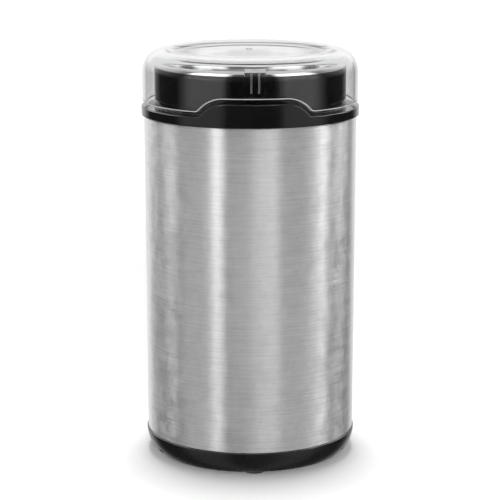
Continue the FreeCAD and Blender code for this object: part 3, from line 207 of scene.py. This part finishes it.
def brushed_steel():
    """Sheet brushed round the body: long level hairlines, short scratches, a cloudy speckle and upright bands."""
    m = Mat("brushed_steel")
    long_hair = m.noise(14.0, stretch=(1, 1, 190), detail=7.0, rough=0.78)
    short_hair = m.noise(95.0, stretch=(1, 1, 24), detail=5.0, rough=0.75)
    cloud = m.noise(210.0, stretch=(1, 1, 0.8), detail=4.0, rough=0.7)
    patch = m.noise(44.0, stretch=(1, 1, 0.3), detail=4.0)
    hair = m.math("ADD", m.math("MULTIPLY", long_hair, 0.5), m.math("MULTIPLY", short_hair, 0.5))
    tone = m.math("ADD", m.span(hair, 0.38, 0.62, 0.0, 0.62), m.math("ADD", m.span(patch, 0.35, 0.7, 0.0, 0.2), m.span(cloud, 0.35, 0.68, -0.06, 0.22)))
    base = m.mix(tone, rgb(0.64), rgb((0.96, 0.96, 0.955)))
    r = m.math("ADD", m.span(hair, 0.3, 0.7, 0.30, 0.46), m.span(cloud, 0.3, 0.75, -0.03, 0.06))
    nrm = m.bump(hair, 0.3, 0.000014)
    m.set(color=base, metal=1.0, rough=r, aniso=0.9, aniso_rot=0.25, tangent=m.round_tangent(), normal=nrm)
    return m.m


def turned_steel(name, color=0.66, rough=0.16, scale=900.0, depth=0.000006):
    """Spun or turned steel: fine rings round the axis and some wiping marks."""
    m = Mat(name)
    ring = m.rings(scale, detail=5.0)
    wipe = m.noise(120.0, detail=5.0, rough=0.65)
    base = m.mix(m.span(ring, 0.3, 0.7, 0, 1), rgb(color * 0.88), rgb(min(1.0, color * 1.1)))
    r = m.math("ADD", m.span(ring, 0.3, 0.7, rough - 0.04, rough + 0.05), m.span(wipe, 0.5, 0.8, 0.0, 0.07))
    nrm = m.bump(ring, 0.3, depth)
    m.set(color=base, metal=1.0, rough=r, aniso=0.4, aniso_rot=0.25, tangent=m.round_tangent(), normal=nrm)
    return m.m


def metal(name, color, rough, grain=600.0, stretch=(1, 1, 1), dark=0.8, depth=0.00001, spots=0.0):
    m = Mat(name)
    g = m.noise(grain, stretch=stretch, detail=5.0, rough=0.65)
    slow = m.noise(90.0, detail=3.0)
    base = m.mix(m.span(g, 0.3, 0.7, 0, 1), rgb([c * dark for c in color]), rgb(color))
    if spots:
        base = m.mix(m.span(slow, 0.55, 0.75, 0, spots), base, rgb([c * 0.45 for c in color]))
    r = m.span(g, 0.3, 0.7, rough - 0.06, rough + 0.08)
    m.set(color=base, metal=1.0, rough=r, normal=m.bump(g, 0.35, depth))
    return m.m


def rubber_mat(name, color=(0.022, 0.022, 0.023)):
    m = Mat(name)
    g = m.noise(2600.0, detail=4.0, rough=0.7)
    dust = m.noise(140.0, detail=5.0)
    base = m.mix(m.span(dust, 0.5, 0.8, 0, 0.6), rgb(color), rgb([c * 2.2 + 0.01 for c in color]))
    m.set(color=base, rough=m.span(g, 0.3, 0.7, 0.62, 0.82), normal=m.bump(g, 0.5, 0.00002), spec=0.35)
    return m.m


def wound_wire(name, color):
    """Enamelled wire: closely laid turns."""
    m = Mat(name)
    w = m.node("ShaderNodeTexWave", wave_type="BANDS", bands_direction="Z")
    w.inputs["Scale"].default_value = 700.0
    w.inputs["Distortion"].default_value = 0.6
    w.inputs["Detail"].default_value = 2.0
    m.t.links.new(m.coords(), w.inputs["Vector"])
    slow = m.noise(160.0, detail=3.0)
    base = m.mix(w.outputs["Fac"], rgb([c * 0.42 for c in color]), rgb(color))
    base = m.mix(m.span(slow, 0.45, 0.75, 0, 0.35), base, rgb([c * 0.7 for c in color]))
    m.set(color=base, metal=0.85, rough=m.span(slow, 0.3, 0.7, 0.24, 0.4), normal=m.bump(w.outputs["Fac"], 0.6, 0.00008))
    return m.m


def laminated(name, color):
    """Stacked electrical sheet: thin level lines."""
    m = Mat(name)
    w = m.node("ShaderNodeTexWave", wave_type="BANDS", bands_direction="Z")
    w.inputs["Scale"].default_value = 640.0
    w.inputs["Distortion"].default_value = 0.15
    m.t.links.new(m.coords(), w.inputs["Vector"])
    slow = m.noise(120.0, detail=5.0, rough=0.7)
    base = m.mix(w.outputs["Fac"], rgb([c * 0.5 for c in color]), rgb(color))
    base = m.mix(m.span(slow, 0.52, 0.72, 0, 0.5), base, rgb((0.16, 0.10, 0.06)))
    m.set(color=base, metal=0.9, rough=m.span(slow, 0.3, 0.7, 0.38, 0.58), normal=m.bump(w.outputs["Fac"], 0.5, 0.00005))
    return m.m


MATS = {
    "clear_plastic": clear_plastic(),
    "black_gloss": plastic("black_gloss", (0.0030, 0.0030, 0.0032), 0.14, grain=2600.0, grain_depth=0.000002, vary=0.04, spec=0.5),
    "black_satin": plastic("black_satin", (0.0045, 0.0045, 0.0047), 0.27, grain=3000.0, grain_depth=0.000006, vary=0.07, spec=0.5),
    "brushed_steel": brushed_steel(),
    "bowl_steel": turned_steel("bowl_steel", 0.74, 0.10),
    "blade_steel": metal("blade_steel", (0.62, 0.62, 0.63), 0.2, grain=160.0, stretch=(1, 14, 1), depth=0.000008),
    "rubber": rubber_mat("rubber"),
    "zinc": metal("zinc", (0.66, 0.67, 0.70), 0.22, grain=700.0, spots=0.25),
    "spring_steel": metal("spring_steel", (0.42, 0.42, 0.43), 0.3, grain=1500.0),
    "lamination": laminated("lamination", (0.22, 0.22, 0.23)),
    "copper": wound_wire("copper", (0.72, 0.33, 0.15)),
    "brass": metal("brass", (0.74, 0.55, 0.24), 0.28, grain=500.0, spots=0.3),
    "bronze": metal("bronze", (0.50, 0.33, 0.16), 0.42, grain=2200.0, dark=0.6),
    "carbon": plastic("carbon", (0.018, 0.018, 0.02), 0.5, grain=1800.0, grain_depth=0.00002, vary=0.1),
    "white_plastic": plastic("white_plastic", (0.70, 0.69, 0.65), 0.38, grain=1800.0, vary=0.08),
    "red_plastic": plastic("red_plastic", (0.42, 0.03, 0.022), 0.32, grain=1800.0, vary=0.08),
    "aluminium": metal("aluminium", (0.62, 0.62, 0.63), 0.42, grain=1400.0, dark=0.75, depth=0.00003),
    "wire_cover": plastic("wire_cover", (0.05, 0.10, 0.34), 0.36, grain=1600.0, vary=0.08),
}
# Painted highlights: pale edge finishes for the lid's lower edge and for the rib's sides.
MATS["lid_edge_painted_highlight"] = lid_edge_painted_highlight("lid_edge_painted_highlight", 0.18)
MATS["rib_edge_painted_highlight"] = lid_edge_painted_highlight("rib_edge_painted_highlight", 0.78)
SLOT_OF = {s["node"]: s["material_slot"] for s in frame["record"]["subparts"]}
for n, o in nodes.items():
    o.data.materials.clear()
    o.data.materials.append(MATS[SLOT_OF[n]])

# ------------------------------------------------------------------ shell tools


def arc(a, b, radius, turn, step=6.0):
    """Points on the shorter arc from a to b in the r, z plane."""
    dr, dz = b[0] - a[0], b[1] - a[1]
    chord = math.hypot(dr, dz)
    rise = math.sqrt(max(radius * radius - chord * chord / 4, 0.0))
    side = 1.0 if turn == "ccw" else -1.0
    cr = (a[0] + b[0]) / 2 - side * dz / chord * rise
    cz = (a[1] + b[1]) / 2 + side * dr / chord * rise
    t0, t1 = math.atan2(a[1] - cz, a[0] - cr), math.atan2(b[1] - cz, b[0] - cr)
    if turn == "ccw":
        while t1 < t0:
            t1 += 2 * math.pi
    else:
        while t1 > t0:
            t1 -= 2 * math.pi
    n = max(2, math.ceil(abs(t1 - t0) / math.radians(step)))
    return [(cr + radius * math.cos(t0 + (t1 - t0) * k / n), cz + radius * math.sin(t0 + (t1 - t0) * k / n)) for k in range(n + 1)]


def outline(points, closed=True, rho=0.12, step=6.0):
    """A profile in mm: (r, z), (r, z, corner radius) or (r, z, arc radius, turn); corners get a small rounding."""
    flat = []
    for i, p in enumerate(points):
        own = p[2] if len(p) == 3 else rho
        if len(p) == 4:
            flat += [(q[0], q[1], rho) for q in arc(points[i - 1], p, p[2], p[3], step)[1:]]
        else:
            flat.append((p[0], p[1], own))
    out = []
    n = len(flat)
    for i, (r, z, own) in enumerate(flat):
        if own <= 0 or (not closed and i in (0, n - 1)):
            out.append((r, z))
            continue
        a, b = flat[i - 1], flat[(i + 1) % n]
        ux, uz, vx, vz = r - a[0], z - a[1], b[0] - r, b[1] - z
        lu, lv = math.hypot(ux, uz), math.hypot(vx, vz)
        bend = math.acos(max(-1.0, min(1.0, (ux * vx + uz * vz) / (lu * lv))))
        if bend < math.radians(15):
            out.append((r, z))
            continue
        d = min(own * math.tan(bend / 2), 0.45 * lu, 0.45 * lv)
        p0, p2 = (r - ux / lu * d, z - uz / lu * d), (r + vx / lv * d, z + vz / lv * d)
        k = 4 if bend > math.radians(50) else 2
        for s in range(k + 1):
            t = s / k
            out.append(tuple((1 - t) ** 2 * p0[c] + 2 * t * (1 - t) * (r, z)[c] + t * t * p2[c] for c in (0, 1)))
    return out


def lathe(name, prof, alphas, shape=None, closed=True):
    """A turned shell in mm. Angles count from the front (-Y) towards +X; shape() may move rows and columns."""
    prof = np.array(prof, float)
    alphas = np.array(alphas, float)
    n, m = len(prof), len(alphas)
    R = np.repeat(prof[:, :1], m, 1)
    Z = np.repeat(prof[:, 1:], m, 1)
    if shape:
        shape(R, Z, alphas)
    verts, faces = [], []
    index = {}
    for i in range(n):
        if prof[i, 0] < 1e-6:
            index[i] = [len(verts)] * m
            verts.append((0.0, 0.0, float(prof[i, 1])))
        else:
            index[i] = list(range(len(verts), len(verts) + m))
            verts += [(float(R[i, j] * math.sin(alphas[j])), float(-R[i, j] * math.cos(alphas[j])), float(Z[i, j])) for j in range(m)]
    for i in range(n if closed else n - 1):
        a, b = index[i], index[(i + 1) % n]
        for j in range(m):
            k = (j + 1) % m
            f = [a[j], a[k], b[k], b[j]]
            f = [v for q, v in enumerate(f) if v != f[q - 1]]
            if len(f) > 2:
                faces.append(f)
    me = bpy.data.meshes.new(name)
    me.from_pydata(verts, [], faces)
    me.validate()
    bm = bmesh.new()
    bm.from_mesh(me)
    bmesh.ops.remove_doubles(bm, verts=bm.verts, dist=1e-5)
    bmesh.ops.dissolve_degenerate(bm, edges=bm.edges, dist=1e-5)
    bm.to_mesh(me)
    bm.free()
    return me


def even(count):
    return [2 * math.pi * k / count for k in range(count)]


def block(x0, x1, y0, y1, z0, z1, bevel=0.0):
    me = bpy.data.meshes.new("block")
    bm = bmesh.new()
    bmesh.ops.create_cube(bm, size=1.0)
    for v in bm.verts:
        v.co = Vector(((x0 + x1) / 2 + v.co.x * (x1 - x0), (y0 + y1) / 2 + v.co.y * (y1 - y0), (z0 + z1) / 2 + v.co.z * (z1 - z0)))
    if bevel:
        bmesh.ops.bevel(bm, geom=bm.edges[:], offset=bevel, segments=3, profile=0.5, affect="EDGES")
    bm.to_mesh(me)
    bm.free()
    return me


def rod(radius, length, centre, turn, sides=64):
    me = bpy.data.meshes.new("rod")
    bm = bmesh.new()
    bmesh.ops.create_cone(bm, cap_ends=True, segments=sides, radius1=radius, radius2=radius, depth=length, matrix=Matrix.Translation(centre) @ turn)
    bm.to_mesh(me)
    bm.free()
    return me


def combine(me, tool, operation):
    """Cut or join two closed meshes."""
    a, b = bpy.data.objects.new("work_a", me), bpy.data.objects.new("work_b", tool)
    for o in (a, b):
        scene.collection.objects.link(o)
    mod = a.modifiers.new("cut", "BOOLEAN")
    mod.object, mod.operation, mod.solver = b, operation, "EXACT"
    graph = bpy.context.evaluated_depsgraph_get()
    graph.update()
    out = bpy.data.meshes.new_from_object(a.evaluated_get(graph))
    for o in (a, b):
        bpy.data.objects.remove(o)
    return out


def crease(me, angle=30.0):
    """Corner normals: area weighted over the faces that turn less than the angle, so flats stay flat and roundings smooth."""
    count = len(me.polygons)
    normal = np.empty(count * 3)
    me.polygons.foreach_get("normal", normal)
    normal = normal.reshape(-1, 3)
    area = np.empty(count)
    me.polygons.foreach_get("area", area)
    total = np.empty(count, dtype=np.int64)
    me.polygons.foreach_get("loop_total", total)
    corner_vert = np.empty(len(me.loops), dtype=np.int64)
    me.loops.foreach_get("vertex_index", corner_vert)
    corner_face = np.repeat(np.arange(count), total)
    order = np.argsort(corner_vert, kind="stable")
    verts, start, many = np.unique(corner_vert[order], return_index=True, return_counts=True)
    out = normal[corner_face].copy()
    limit = math.cos(math.radians(angle))
    for k in np.unique(many):
        s = start[many == k]
        idx = order[s[:, None] + np.arange(k)[None, :]]
        nn = normal[corner_face[idx]]
        ww = area[corner_face[idx]]
        near = (np.einsum("vac,vbc->vab", nn, nn) > limit) * ww[:, None, :]
        sums = np.einsum("vab,vbc->vac", near, nn)
        size = np.linalg.norm(sums, axis=2, keepdims=True)
        out[idx] = np.where(size > 1e-12, sums / np.maximum(size, 1e-12), nn)
    me.polygons.foreach_set("use_smooth", np.ones(count, dtype=bool))
    me.normals_split_custom_set(out.tolist())


def piece(name, me, body, slots, *replaced, angle=30.0, pick=None):
    """Puts a finished mesh (mm) in the scene as a piece that stands for CAD nodes."""
    me.transform(Matrix.Scale(MM, 4))
    me.name = name
    me.materials.clear()
    for s in slots:
        me.materials.append(MATS[s])
    if pick:
        centre = np.empty(len(me.polygons) * 3)
        me.polygons.foreach_get("center", centre)
        which = pick(centre.reshape(-1, 3) / MM, me)
        me.polygons.foreach_set("material_index", which.astype(np.int32))
    else:
        me.polygons.foreach_set("material_index", np.zeros(len(me.polygons), dtype=np.int32))
    crease(me, angle)
    ob = bpy.data.objects.new(name, me)
    scene.collection.objects.link(ob)
    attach(ob, body)
    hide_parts(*replaced)
    return ob


# ------------------------------------------------------------------ clear lid
LID_LOW, LID_STRAIGHT, LID_TOP = 157.5, 169.6, 180.15


def above(x, flat, crown, radius, foot):
    """Height of a raised arch over x, with a softened foot."""
    ax = np.abs(x)
    side = np.where(ax < flat + radius, crown - radius + np.sqrt(np.maximum(radius ** 2 - np.maximum(ax - flat, 0) ** 2, 0)), foot - 20)
    raised = np.where(ax <= flat, crown, side)
    d = raised - foot
    return foot + 0.5 * (d + np.sqrt(d * d + 0.36)) - 0.5 * (np.sqrt((crown - foot) ** 2 + 0.36) - (crown - foot)) * (d > 0)


def front_columns(marks, radius, count=144):
    """Even columns, closer together where the arch's shoulders are."""
    cols = set(round(360 * k / count, 4) for k in range(count))
    lo, hi = marks
    k = lo
    while k <= hi:
        for s in (1, -1):
            cols.add(round((s * math.degrees(math.asin(k / radius))) % 360, 4))
        k += 0.55
    cols = sorted(cols)
    kept = [cols[0]]
    for c in cols[1:]:
        if c - kept[-1] > 0.22:
            kept.append(c)
    return [math.radians(c) for c in kept]


swing_a = math.radians(25.0)
sa, ca = math.sin(swing_a), math.cos(swing_a)
al, ash, wall = 12.57, 8.40, 1.9
il, ish = al - wall, ash - wall
runs = al * (1 - ca) + ash * (ca - sa) + al * sa
lid_profile = outline(
    [
        (0, 176.75), (12, 176.75), (22, 176.75), (25.5, 176.75),
        (30.95, 177.5, 20.18, "ccw"), (36.4, 178.25, 20.18, "cw"), (47 - runs, 178.25, 0),
        (47 - runs + il * sa, LID_TOP - al + il * ca, il, "cw"),
        (47 - al + il * ca, LID_TOP - runs + il * sa, ish, "cw"),
        (47 - wall, LID_TOP - runs, il, "cw"),
        (47 - wall, 167.0), (47 - wall, 164.4), (47 - wall, 161.8), (47 - wall, 159.6), (47 - wall, 158.3),
        (47 - wall, LID_LOW, 0.2), (47 - 0.4, LID_LOW, 0), (47, LID_LOW + 0.4, 0.4, "ccw"),
        (47, 158.3), (47, 159.6), (47, 161.8), (47, 164.4), (47, 167.0), (47, LID_TOP - runs),
        (47 - al * (1 - ca), LID_TOP - runs + al * sa, al, "ccw"),
        (47 - (runs - al * sa), LID_TOP - al * (1 - ca), ash, "ccw"),
        (47 - runs, LID_TOP, al, "ccw"), (36.4, LID_TOP),
        (32.2, 179.4, 12.14, "ccw"), (28.0, 178.65, 12.14, "cw"),
        (22, 178.65), (12, 178.65), (0, 178.65),
    ],
    closed=False, rho=0.15, step=5.0,
)


def lid_arch(R, Z, A):
    x = 46.6 * np.sin(A)
    low = np.where(np.cos(A) > 0, above(x, 13.0, 163.4, 13.0, LID_LOW), LID_LOW)
    rise = np.repeat((low - LID_LOW)[None, :], len(Z), 0)
    skirt = (R > 44.9) & (Z < LID_STRAIGHT)
    edge = skirt & (Z <= 158.31)
    rest = skirt & ~edge
    Z[rest] = 158.3 + rise[rest] + (Z[rest] - 158.3) / (LID_STRAIGHT - 158.3) * (LID_STRAIGHT - 158.3 - rise[rest])
    Z[edge] += rise[edge]


lid = lathe("clear_lid_shell", lid_profile, front_columns((12.4, 24.6), 46.6), lid_arch, closed=False)
tongue = block(-4.4, 4.4, -44.2, -42.4, 155.3, 176.0, 0.25)
rib = block(-1.12, 1.12, -45.5, -43.9, 165.5, 175.6)
for v in rib.vertices:
    if v.co.y < -45:
        v.co.x *= 1.2
lid = combine(lid, tongue, "UNION")
lid = combine(lid, rib, "UNION")
lid = combine(lid, rod(1.35, 0.5, (0, 9.5, 178.78), Matrix.Identity(4), 40), "UNION")


# Faces that get the painted edge highlight: slot 1 is the skirt's lower edge and slot 2 is the rib's sides.
def painted_highlight_faces(c, me):
    r = np.hypot(c[:, 0], c[:, 1])
    a = np.arctan2(c[:, 0], -c[:, 1])
    x = 46.6 * np.sin(a)
    low = np.where(np.cos(a) > 0, above(x, 13.0, 163.4, 13.0, LID_LOW), LID_LOW)
    skirt = (r > 45.0) & (c[:, 2] < low + 0.42)
    rib_painted_highlight = (np.abs(c[:, 0]) > 1.05) & (np.abs(c[:, 0]) < 2.0) & (c[:, 1] > -45.2) & (c[:, 1] < -44.1) & (c[:, 2] > 165.4) & (c[:, 2] < 175.7)
    return skirt.astype(int) + 2 * (rib_painted_highlight & ~skirt).astype(int)


lid_ob = piece("clear_lid_shell", lid, "lid", ("clear_plastic", "lid_edge_painted_highlight", "rib_edge_painted_highlight"), "clear_lid", pick=painted_highlight_faces)

# ------------------------------------------------------------------ collar with its raised tab
DECK = 155.6
collar_profile = outline(
    [
        (39.6, 153.4), (41.6, 153.4), (41.6, 145.5), (42.85, 145.5), (43.25, 146.1), (43.25, 151.4),
        (47.15, 151.4), (47.5, 151.75, 0.2), (47.5, 153.2), (47.5, 154.3), (47.5, DECK - 0.5, 0),
        (47.0, DECK, 0.5, "ccw"), (46.4, DECK, 0), (45.75, DECK, 0), (45.5, DECK - 0.001, 0), (45.5, DECK - 0.002, 0), (45.0, DECK - 0.002, 0),
        (42.34, DECK, 0), (41.74, DECK + 0.6, 0.6, "cw"), (41.74, 160.0), (41.74, 164.0), (41.74, 168.0), (41.74, 171.6, 0),
        (41.34, 172.0, 0.4, "ccw"), (39.6, 172.0, 0.2), (39.6, 166.0), (39.6, 160.0),
    ],
    closed=True, rho=0.15, step=12.0,
)


def collar_tab(R, Z, A):
    x = 47.2 * np.sin(A)
    top = np.where(np.cos(A) > 0, above(x, 12.6, 161.4, 12.4, DECK), DECK)
    up = np.repeat((top - DECK)[None, :], len(Z), 0)
    up[up < 0.012] = 0.0
    outer = (R > 45.6) & (Z > 154.9)
    Z[outer] += up[outer]
    mid = (R > 46) & (Z > 152.5) & (Z < 154.9)
    Z[mid] += up[mid] * (Z[mid] - 152.5) / 3.1
    inner = (np.abs(R - 45.5) < 1e-6) & (np.abs(Z - (DECK - 0.001)) < 1e-6)
    Z[inner] = DECK - 0.002 + np.maximum(up[inner] - 0.25, 0)


collar = lathe("top_collar_shell", collar_profile, front_columns((11.4, 25.2), 47.2), collar_tab)
collar = combine(collar, block(-5.0, 5.0, -44.45, -42.1, 143.6, 157.6), "DIFFERENCE")
collar = combine(collar, block(-4.2, 4.2, -44.3, -37.6, 141.9, 153.9), "DIFFERENCE")
piece("top_collar_shell", collar, "root", ("black_gloss",), "top_collar")

# ------------------------------------------------------------------ brushed sleeve
sleeve_profile = outline(
    [(45.55, 10.85, 0.08), (46.05, 10.85, 0.18)] + [(46.05 + 0.3 * k / 12, 10.85 + 140.5 * k / 12) for k in range(1, 12)]
    + [(46.35, 151.35, 0.18), (45.85, 151.35, 0.08), (45.7, 81.0)],
    closed=True,
)
sleeve = lathe("steel_sleeve_shell", sleeve_profile, even(192))
sleeve = combine(sleeve, rod(4.8, 12.0, (0, 46.0, 24.0), Matrix.Rotation(math.pi / 2, 4, "X")), "DIFFERENCE")
sleeve_ob = piece("steel_sleeve_shell", sleeve, "root", ("brushed_steel",), "steel_sleeve")

# ------------------------------------------------------------------ bowl with its rolled rim
bowl_profile = outline(
    [
        (8.3, 129.0), (8.3, 128.2), (18.0, 128.2), (27.2, 128.2), (37.0, 138.0, 9.8, "ccw"), (37.7, 150.0), (38.5, 162.0), (39.2, 173.1),
        (39.6, 173.5, 0.4, "cw"), (40.94, 172.12, 1.4, "cw"), (41.7, 172.12, 0.1), (39.6, 174.3, 2.2, "ccw"), (38.4, 173.1, 1.2, "ccw"),
        (37.7, 162.0), (36.95, 150.0), (36.2, 138.0), (27.2, 129.0, 9.0, "cw"), (18.0, 129.0),
    ],
    closed=True, rho=0.15, step=7.0,
)
bowl_ob = piece("grinding_bowl_shell", lathe("grinding_bowl_shell", bowl_profile, even(160)), "root", ("bowl_steel",), "grinding_bowl")

# ------------------------------------------------------------------ return spring, which shortens as the lid goes down on the real grinder: here a copy of its coil mesh on the root body
spring_ob = bpy.data.objects.new("return_spring_coil", nodes["return_spring"].data.copy())
scene.collection.objects.link(spring_ob)
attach(spring_ob, "root")
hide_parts("return_spring")
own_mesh(spring_ob)

# ------------------------------------------------------------------ studio
floor_mesh = bpy.data.meshes.new("floor")
bm = bmesh.new()
bmesh.ops.create_grid(bm, x_segments=4, y_segments=4, size=7.0)
bm.to_mesh(floor_mesh)
bm.free()
floor = bpy.data.objects.new("floor", floor_mesh)
scene.collection.objects.link(floor)
floor.visible_glossy = False
floor.visible_transmission = False
fm = Mat("floor_paper")
fm.set(color=fm.mix(fm.span(fm.noise(3.0, detail=3.0), 0.3, 0.7, 0, 1), rgb(0.93), rgb(0.95)), rough=0.7, spec=0.2)
floor_mesh.materials.append(fm.m)

world = bpy.data.worlds.new("studio")
scene.world = world
world.use_nodes = True
wt = world.node_tree
wt.nodes.clear()
w_out = wt.nodes.new("ShaderNodeOutputWorld")
w_bg = wt.nodes.new("ShaderNodeBackground")
wt.links.new(w_bg.outputs[0], w_out.inputs[0])


def wn(kind, **p):
    n = wt.nodes.new(kind)
    for k, v in p.items():
        setattr(n, k, v)
    return n


def wmath(op, a, b=None):
    n = wn("ShaderNodeMath", operation=op)
    for s, v in zip(n.inputs, (a, b)):
        if isinstance(v, bpy.types.NodeSocket):
            wt.links.new(v, s)
        elif v is not None:
            s.default_value = v
    return n.outputs[0]


w_tc = wn("ShaderNodeTexCoord")
w_sep = wn("ShaderNodeSeparateXYZ")
wt.links.new(w_tc.outputs["Generated"], w_sep.inputs[0])
flat = wmath("SQRT", wmath("ADD", wmath("MULTIPLY", w_sep.outputs[0], w_sep.outputs[0]), wmath("MULTIPLY", w_sep.outputs[1], w_sep.outputs[1])))
front = wmath("DIVIDE", wmath("MULTIPLY", w_sep.outputs[1], -1.0), wmath("MAXIMUM", flat, 0.001))
w_place = wmath("ADD", wmath("MULTIPLY", front, 0.5), 0.5)


def around(*stops):
    """Radiance against the angle from the front, given in degrees."""
    ramp = wn("ShaderNodeValToRGB")
    wt.links.new(w_place, ramp.inputs["Fac"])
    pts = sorted((0.5 + 0.5 * math.cos(math.radians(deg)), c) for deg, c in stops)
    el = ramp.color_ramp.elements
    while len(el) < len(pts):
        el.new(0.5)
    for e, (p, c) in zip(el, pts):
        e.position = p
        e.color = (c, c, c, 1)
    return ramp.outputs[0]


def rising(lo, hi):
    step = wn("ShaderNodeMapRange", interpolation_type="SMOOTHSTEP")
    for s, v in (("From Min", lo), ("From Max", hi), ("To Min", 0.0), ("To Max", 1.0)):
        step.inputs[s].default_value = v
    wt.links.new(w_sep.outputs[2], step.inputs["Value"])
    return step.outputs[0]


def wmix(fac, a, b):
    n = wn("ShaderNodeMix", data_type="RGBA")
    wt.links.new(fac, n.inputs["Factor"])
    for s, v in ((n.inputs[6], a), (n.inputs[7], b)):
        if isinstance(v, bpy.types.NodeSocket):
            wt.links.new(v, s)
        else:
            s.default_value = (v, v, v, 1)
    return n.outputs[2]


LOW = ((0, 0.03), (26, 0.032), (35, 0.56), (74, 0.58), (88, 0.05), (136, 0.04), (152, 0.9), (180, 1.0))
INNER = ((0, 0.03), (26, 0.032), (35, 0.86), (74, 0.86), (88, 0.04), (136, 0.03), (152, 0.35), (180, 0.8))
LOWER = ((0, 0.03), (26, 0.032), (35, 0.34), (74, 0.34), (88, 0.05), (136, 0.04), (152, 0.5), (180, 0.6))
HIGH = ((0, 0.22), (30, 0.24), (60, 0.22), (85, 0.30), (112, 0.45), (135, 0.9), (160, 1.0), (180, 1.0))
RIM = ((0, 0.05), (24, 0.07), (34, 2.5), (72, 2.5), (84, 0.14), (102, 0.5), (125, 0.75), (150, 1.0), (180, 1.0))
w_lp = wn("ShaderNodeLightPath")
passed = w_lp.outputs["Is Transmission Ray"]
straight = wmath("MULTIPLY", passed, wmath("LESS_THAN", w_lp.outputs["Glossy Depth"], 0.5))
low = wmix(rising(-0.62, -0.36), around(*LOWER), wmix(passed, around(*LOW), around(*INNER)))
sky = wmix(rising(0.0, 0.16), low, wmix(passed, around(*HIGH), around(*RIM)))
sky = wmix(rising(0.55, 0.85), sky, wmix(passed, 1.05, 0.75))
sky = wmix(straight, sky, 0.83)
sky = wmix(w_lp.outputs["Is Diffuse Ray"], sky, 0.40)
w_cam = wn("ShaderNodeMix", data_type="RGBA")
wt.links.new(w_lp.outputs["Is Camera Ray"], w_cam.inputs["Factor"])
wt.links.new(sky, w_cam.inputs[6])
w_cam.inputs[7].default_value = (0.98, 0.98, 0.98, 1)
wt.links.new(w_cam.outputs[2], w_bg.inputs["Color"])
w_bg.inputs["Strength"].default_value = 1.0


off_lid = bpy.data.collections.new("off_the_lid")
for o in (lid_ob, bowl_ob):
    off_lid.objects.link(o)
for link in off_lid.collection_objects:
    link.light_linking.link_state = "EXCLUDE"


on_sleeve = bpy.data.collections.new("on_the_sleeve")
on_sleeve.objects.link(sleeve_ob)


def strip(name, azimuth, dist, z, width, height, radiance):
    """A softbox at an azimuth counted from the front (-Y), positive to +X."""
    a = math.radians(azimuth)
    loc = Vector((math.sin(a) * dist, -math.cos(a) * dist, z))
    light = bpy.data.lights.new(name, "AREA")
    light.shape = "RECTANGLE"
    light.size, light.size_y = width, height
    light.energy = radiance * width * height * math.pi
    ob = bpy.data.objects.new(name, light)
    scene.collection.objects.link(ob)
    ob.location = loc
    ob.rotation_euler = (Vector((0, 0, 0.09)) - loc).to_track_quat("-Z", "Y").to_euler()
    ob.visible_diffuse = False
    ob.visible_transmission = False
    ob.light_linking.receiver_collection = off_lid
    return ob


strip("strip_left", -39, 1.3, 0.75, 0.20, 0.95, 6.4)
strip("box_left", -100, 1.3, 0.75, 0.54, 0.95, 2.8)
strip("back_left", -132, 1.3, 0.75, 0.56, 0.95, 2.6)
strip("fill_wide", 8, 1.5, 0.85, 0.46, 0.95, 1.05)
strip("fill_front", 22, 1.5, 0.85, 0.20, 0.95, 2.3)
strip("strip_right", 84, 1.3, 0.75, 0.30, 0.95, 6.2)
strip("back_right", 114, 1.3, 0.75, 0.56, 0.95, 3.6)
glow = strip("floor_glow", 3, 0.36, 0.015, 0.34, 0.08, 1.8)
glow.visible_camera = False
glow.light_linking.receiver_collection = on_sleeve


def soft_sun(name, azimuth, elevation, spread, power):
    """Even light for the floor and the matt parts; it makes no highlights."""
    light = bpy.data.lights.new(name, "SUN")
    light.energy = power
    light.angle = math.radians(spread)
    ob = bpy.data.objects.new(name, light)
    scene.collection.objects.link(ob)
    e, a = math.radians(elevation), math.radians(azimuth)
    away = Vector((math.sin(a) * math.cos(e), -math.cos(a) * math.cos(e), math.sin(e)))
    ob.rotation_euler = away.to_track_quat("Z", "Y").to_euler()
    ob.visible_glossy = False
    ob.visible_transmission = False
    ob.light_linking.receiver_collection = off_lid
    return ob


soft_sun("sun_top", 180, 82.5, 15, 1.70)
soft_sun("sun_front", 0, 14, 24, 2.7)

# ------------------------------------------------------------------ camera
cam = bpy.data.cameras.new("camera")
cam_ob = bpy.data.objects.new("camera", cam)
scene.collection.objects.link(cam_ob)
cam.sensor_width = 36.0
cam.lens = 36.0 * 1827.387 / 500.0
cam.clip_start, cam.clip_end = 0.05, 40.0
swing = math.radians(2.6)
reach = 0.794269
cam_ob.location = (-reach * math.sin(swing), -reach * math.cos(swing), 0.261111)
cam_ob.rotation_euler = (math.radians(90.0 - 12.139), 0.0, -swing)
cam.shift_x = -0.28 / 500.0
scene.camera = cam_ob
scene.view_settings.view_transform = "Standard"
scene.cycles.max_bounces = 24
scene.cycles.transmission_bounces = 16
scene.cycles.glossy_bounces = 8
scene.cycles.use_denoising = True
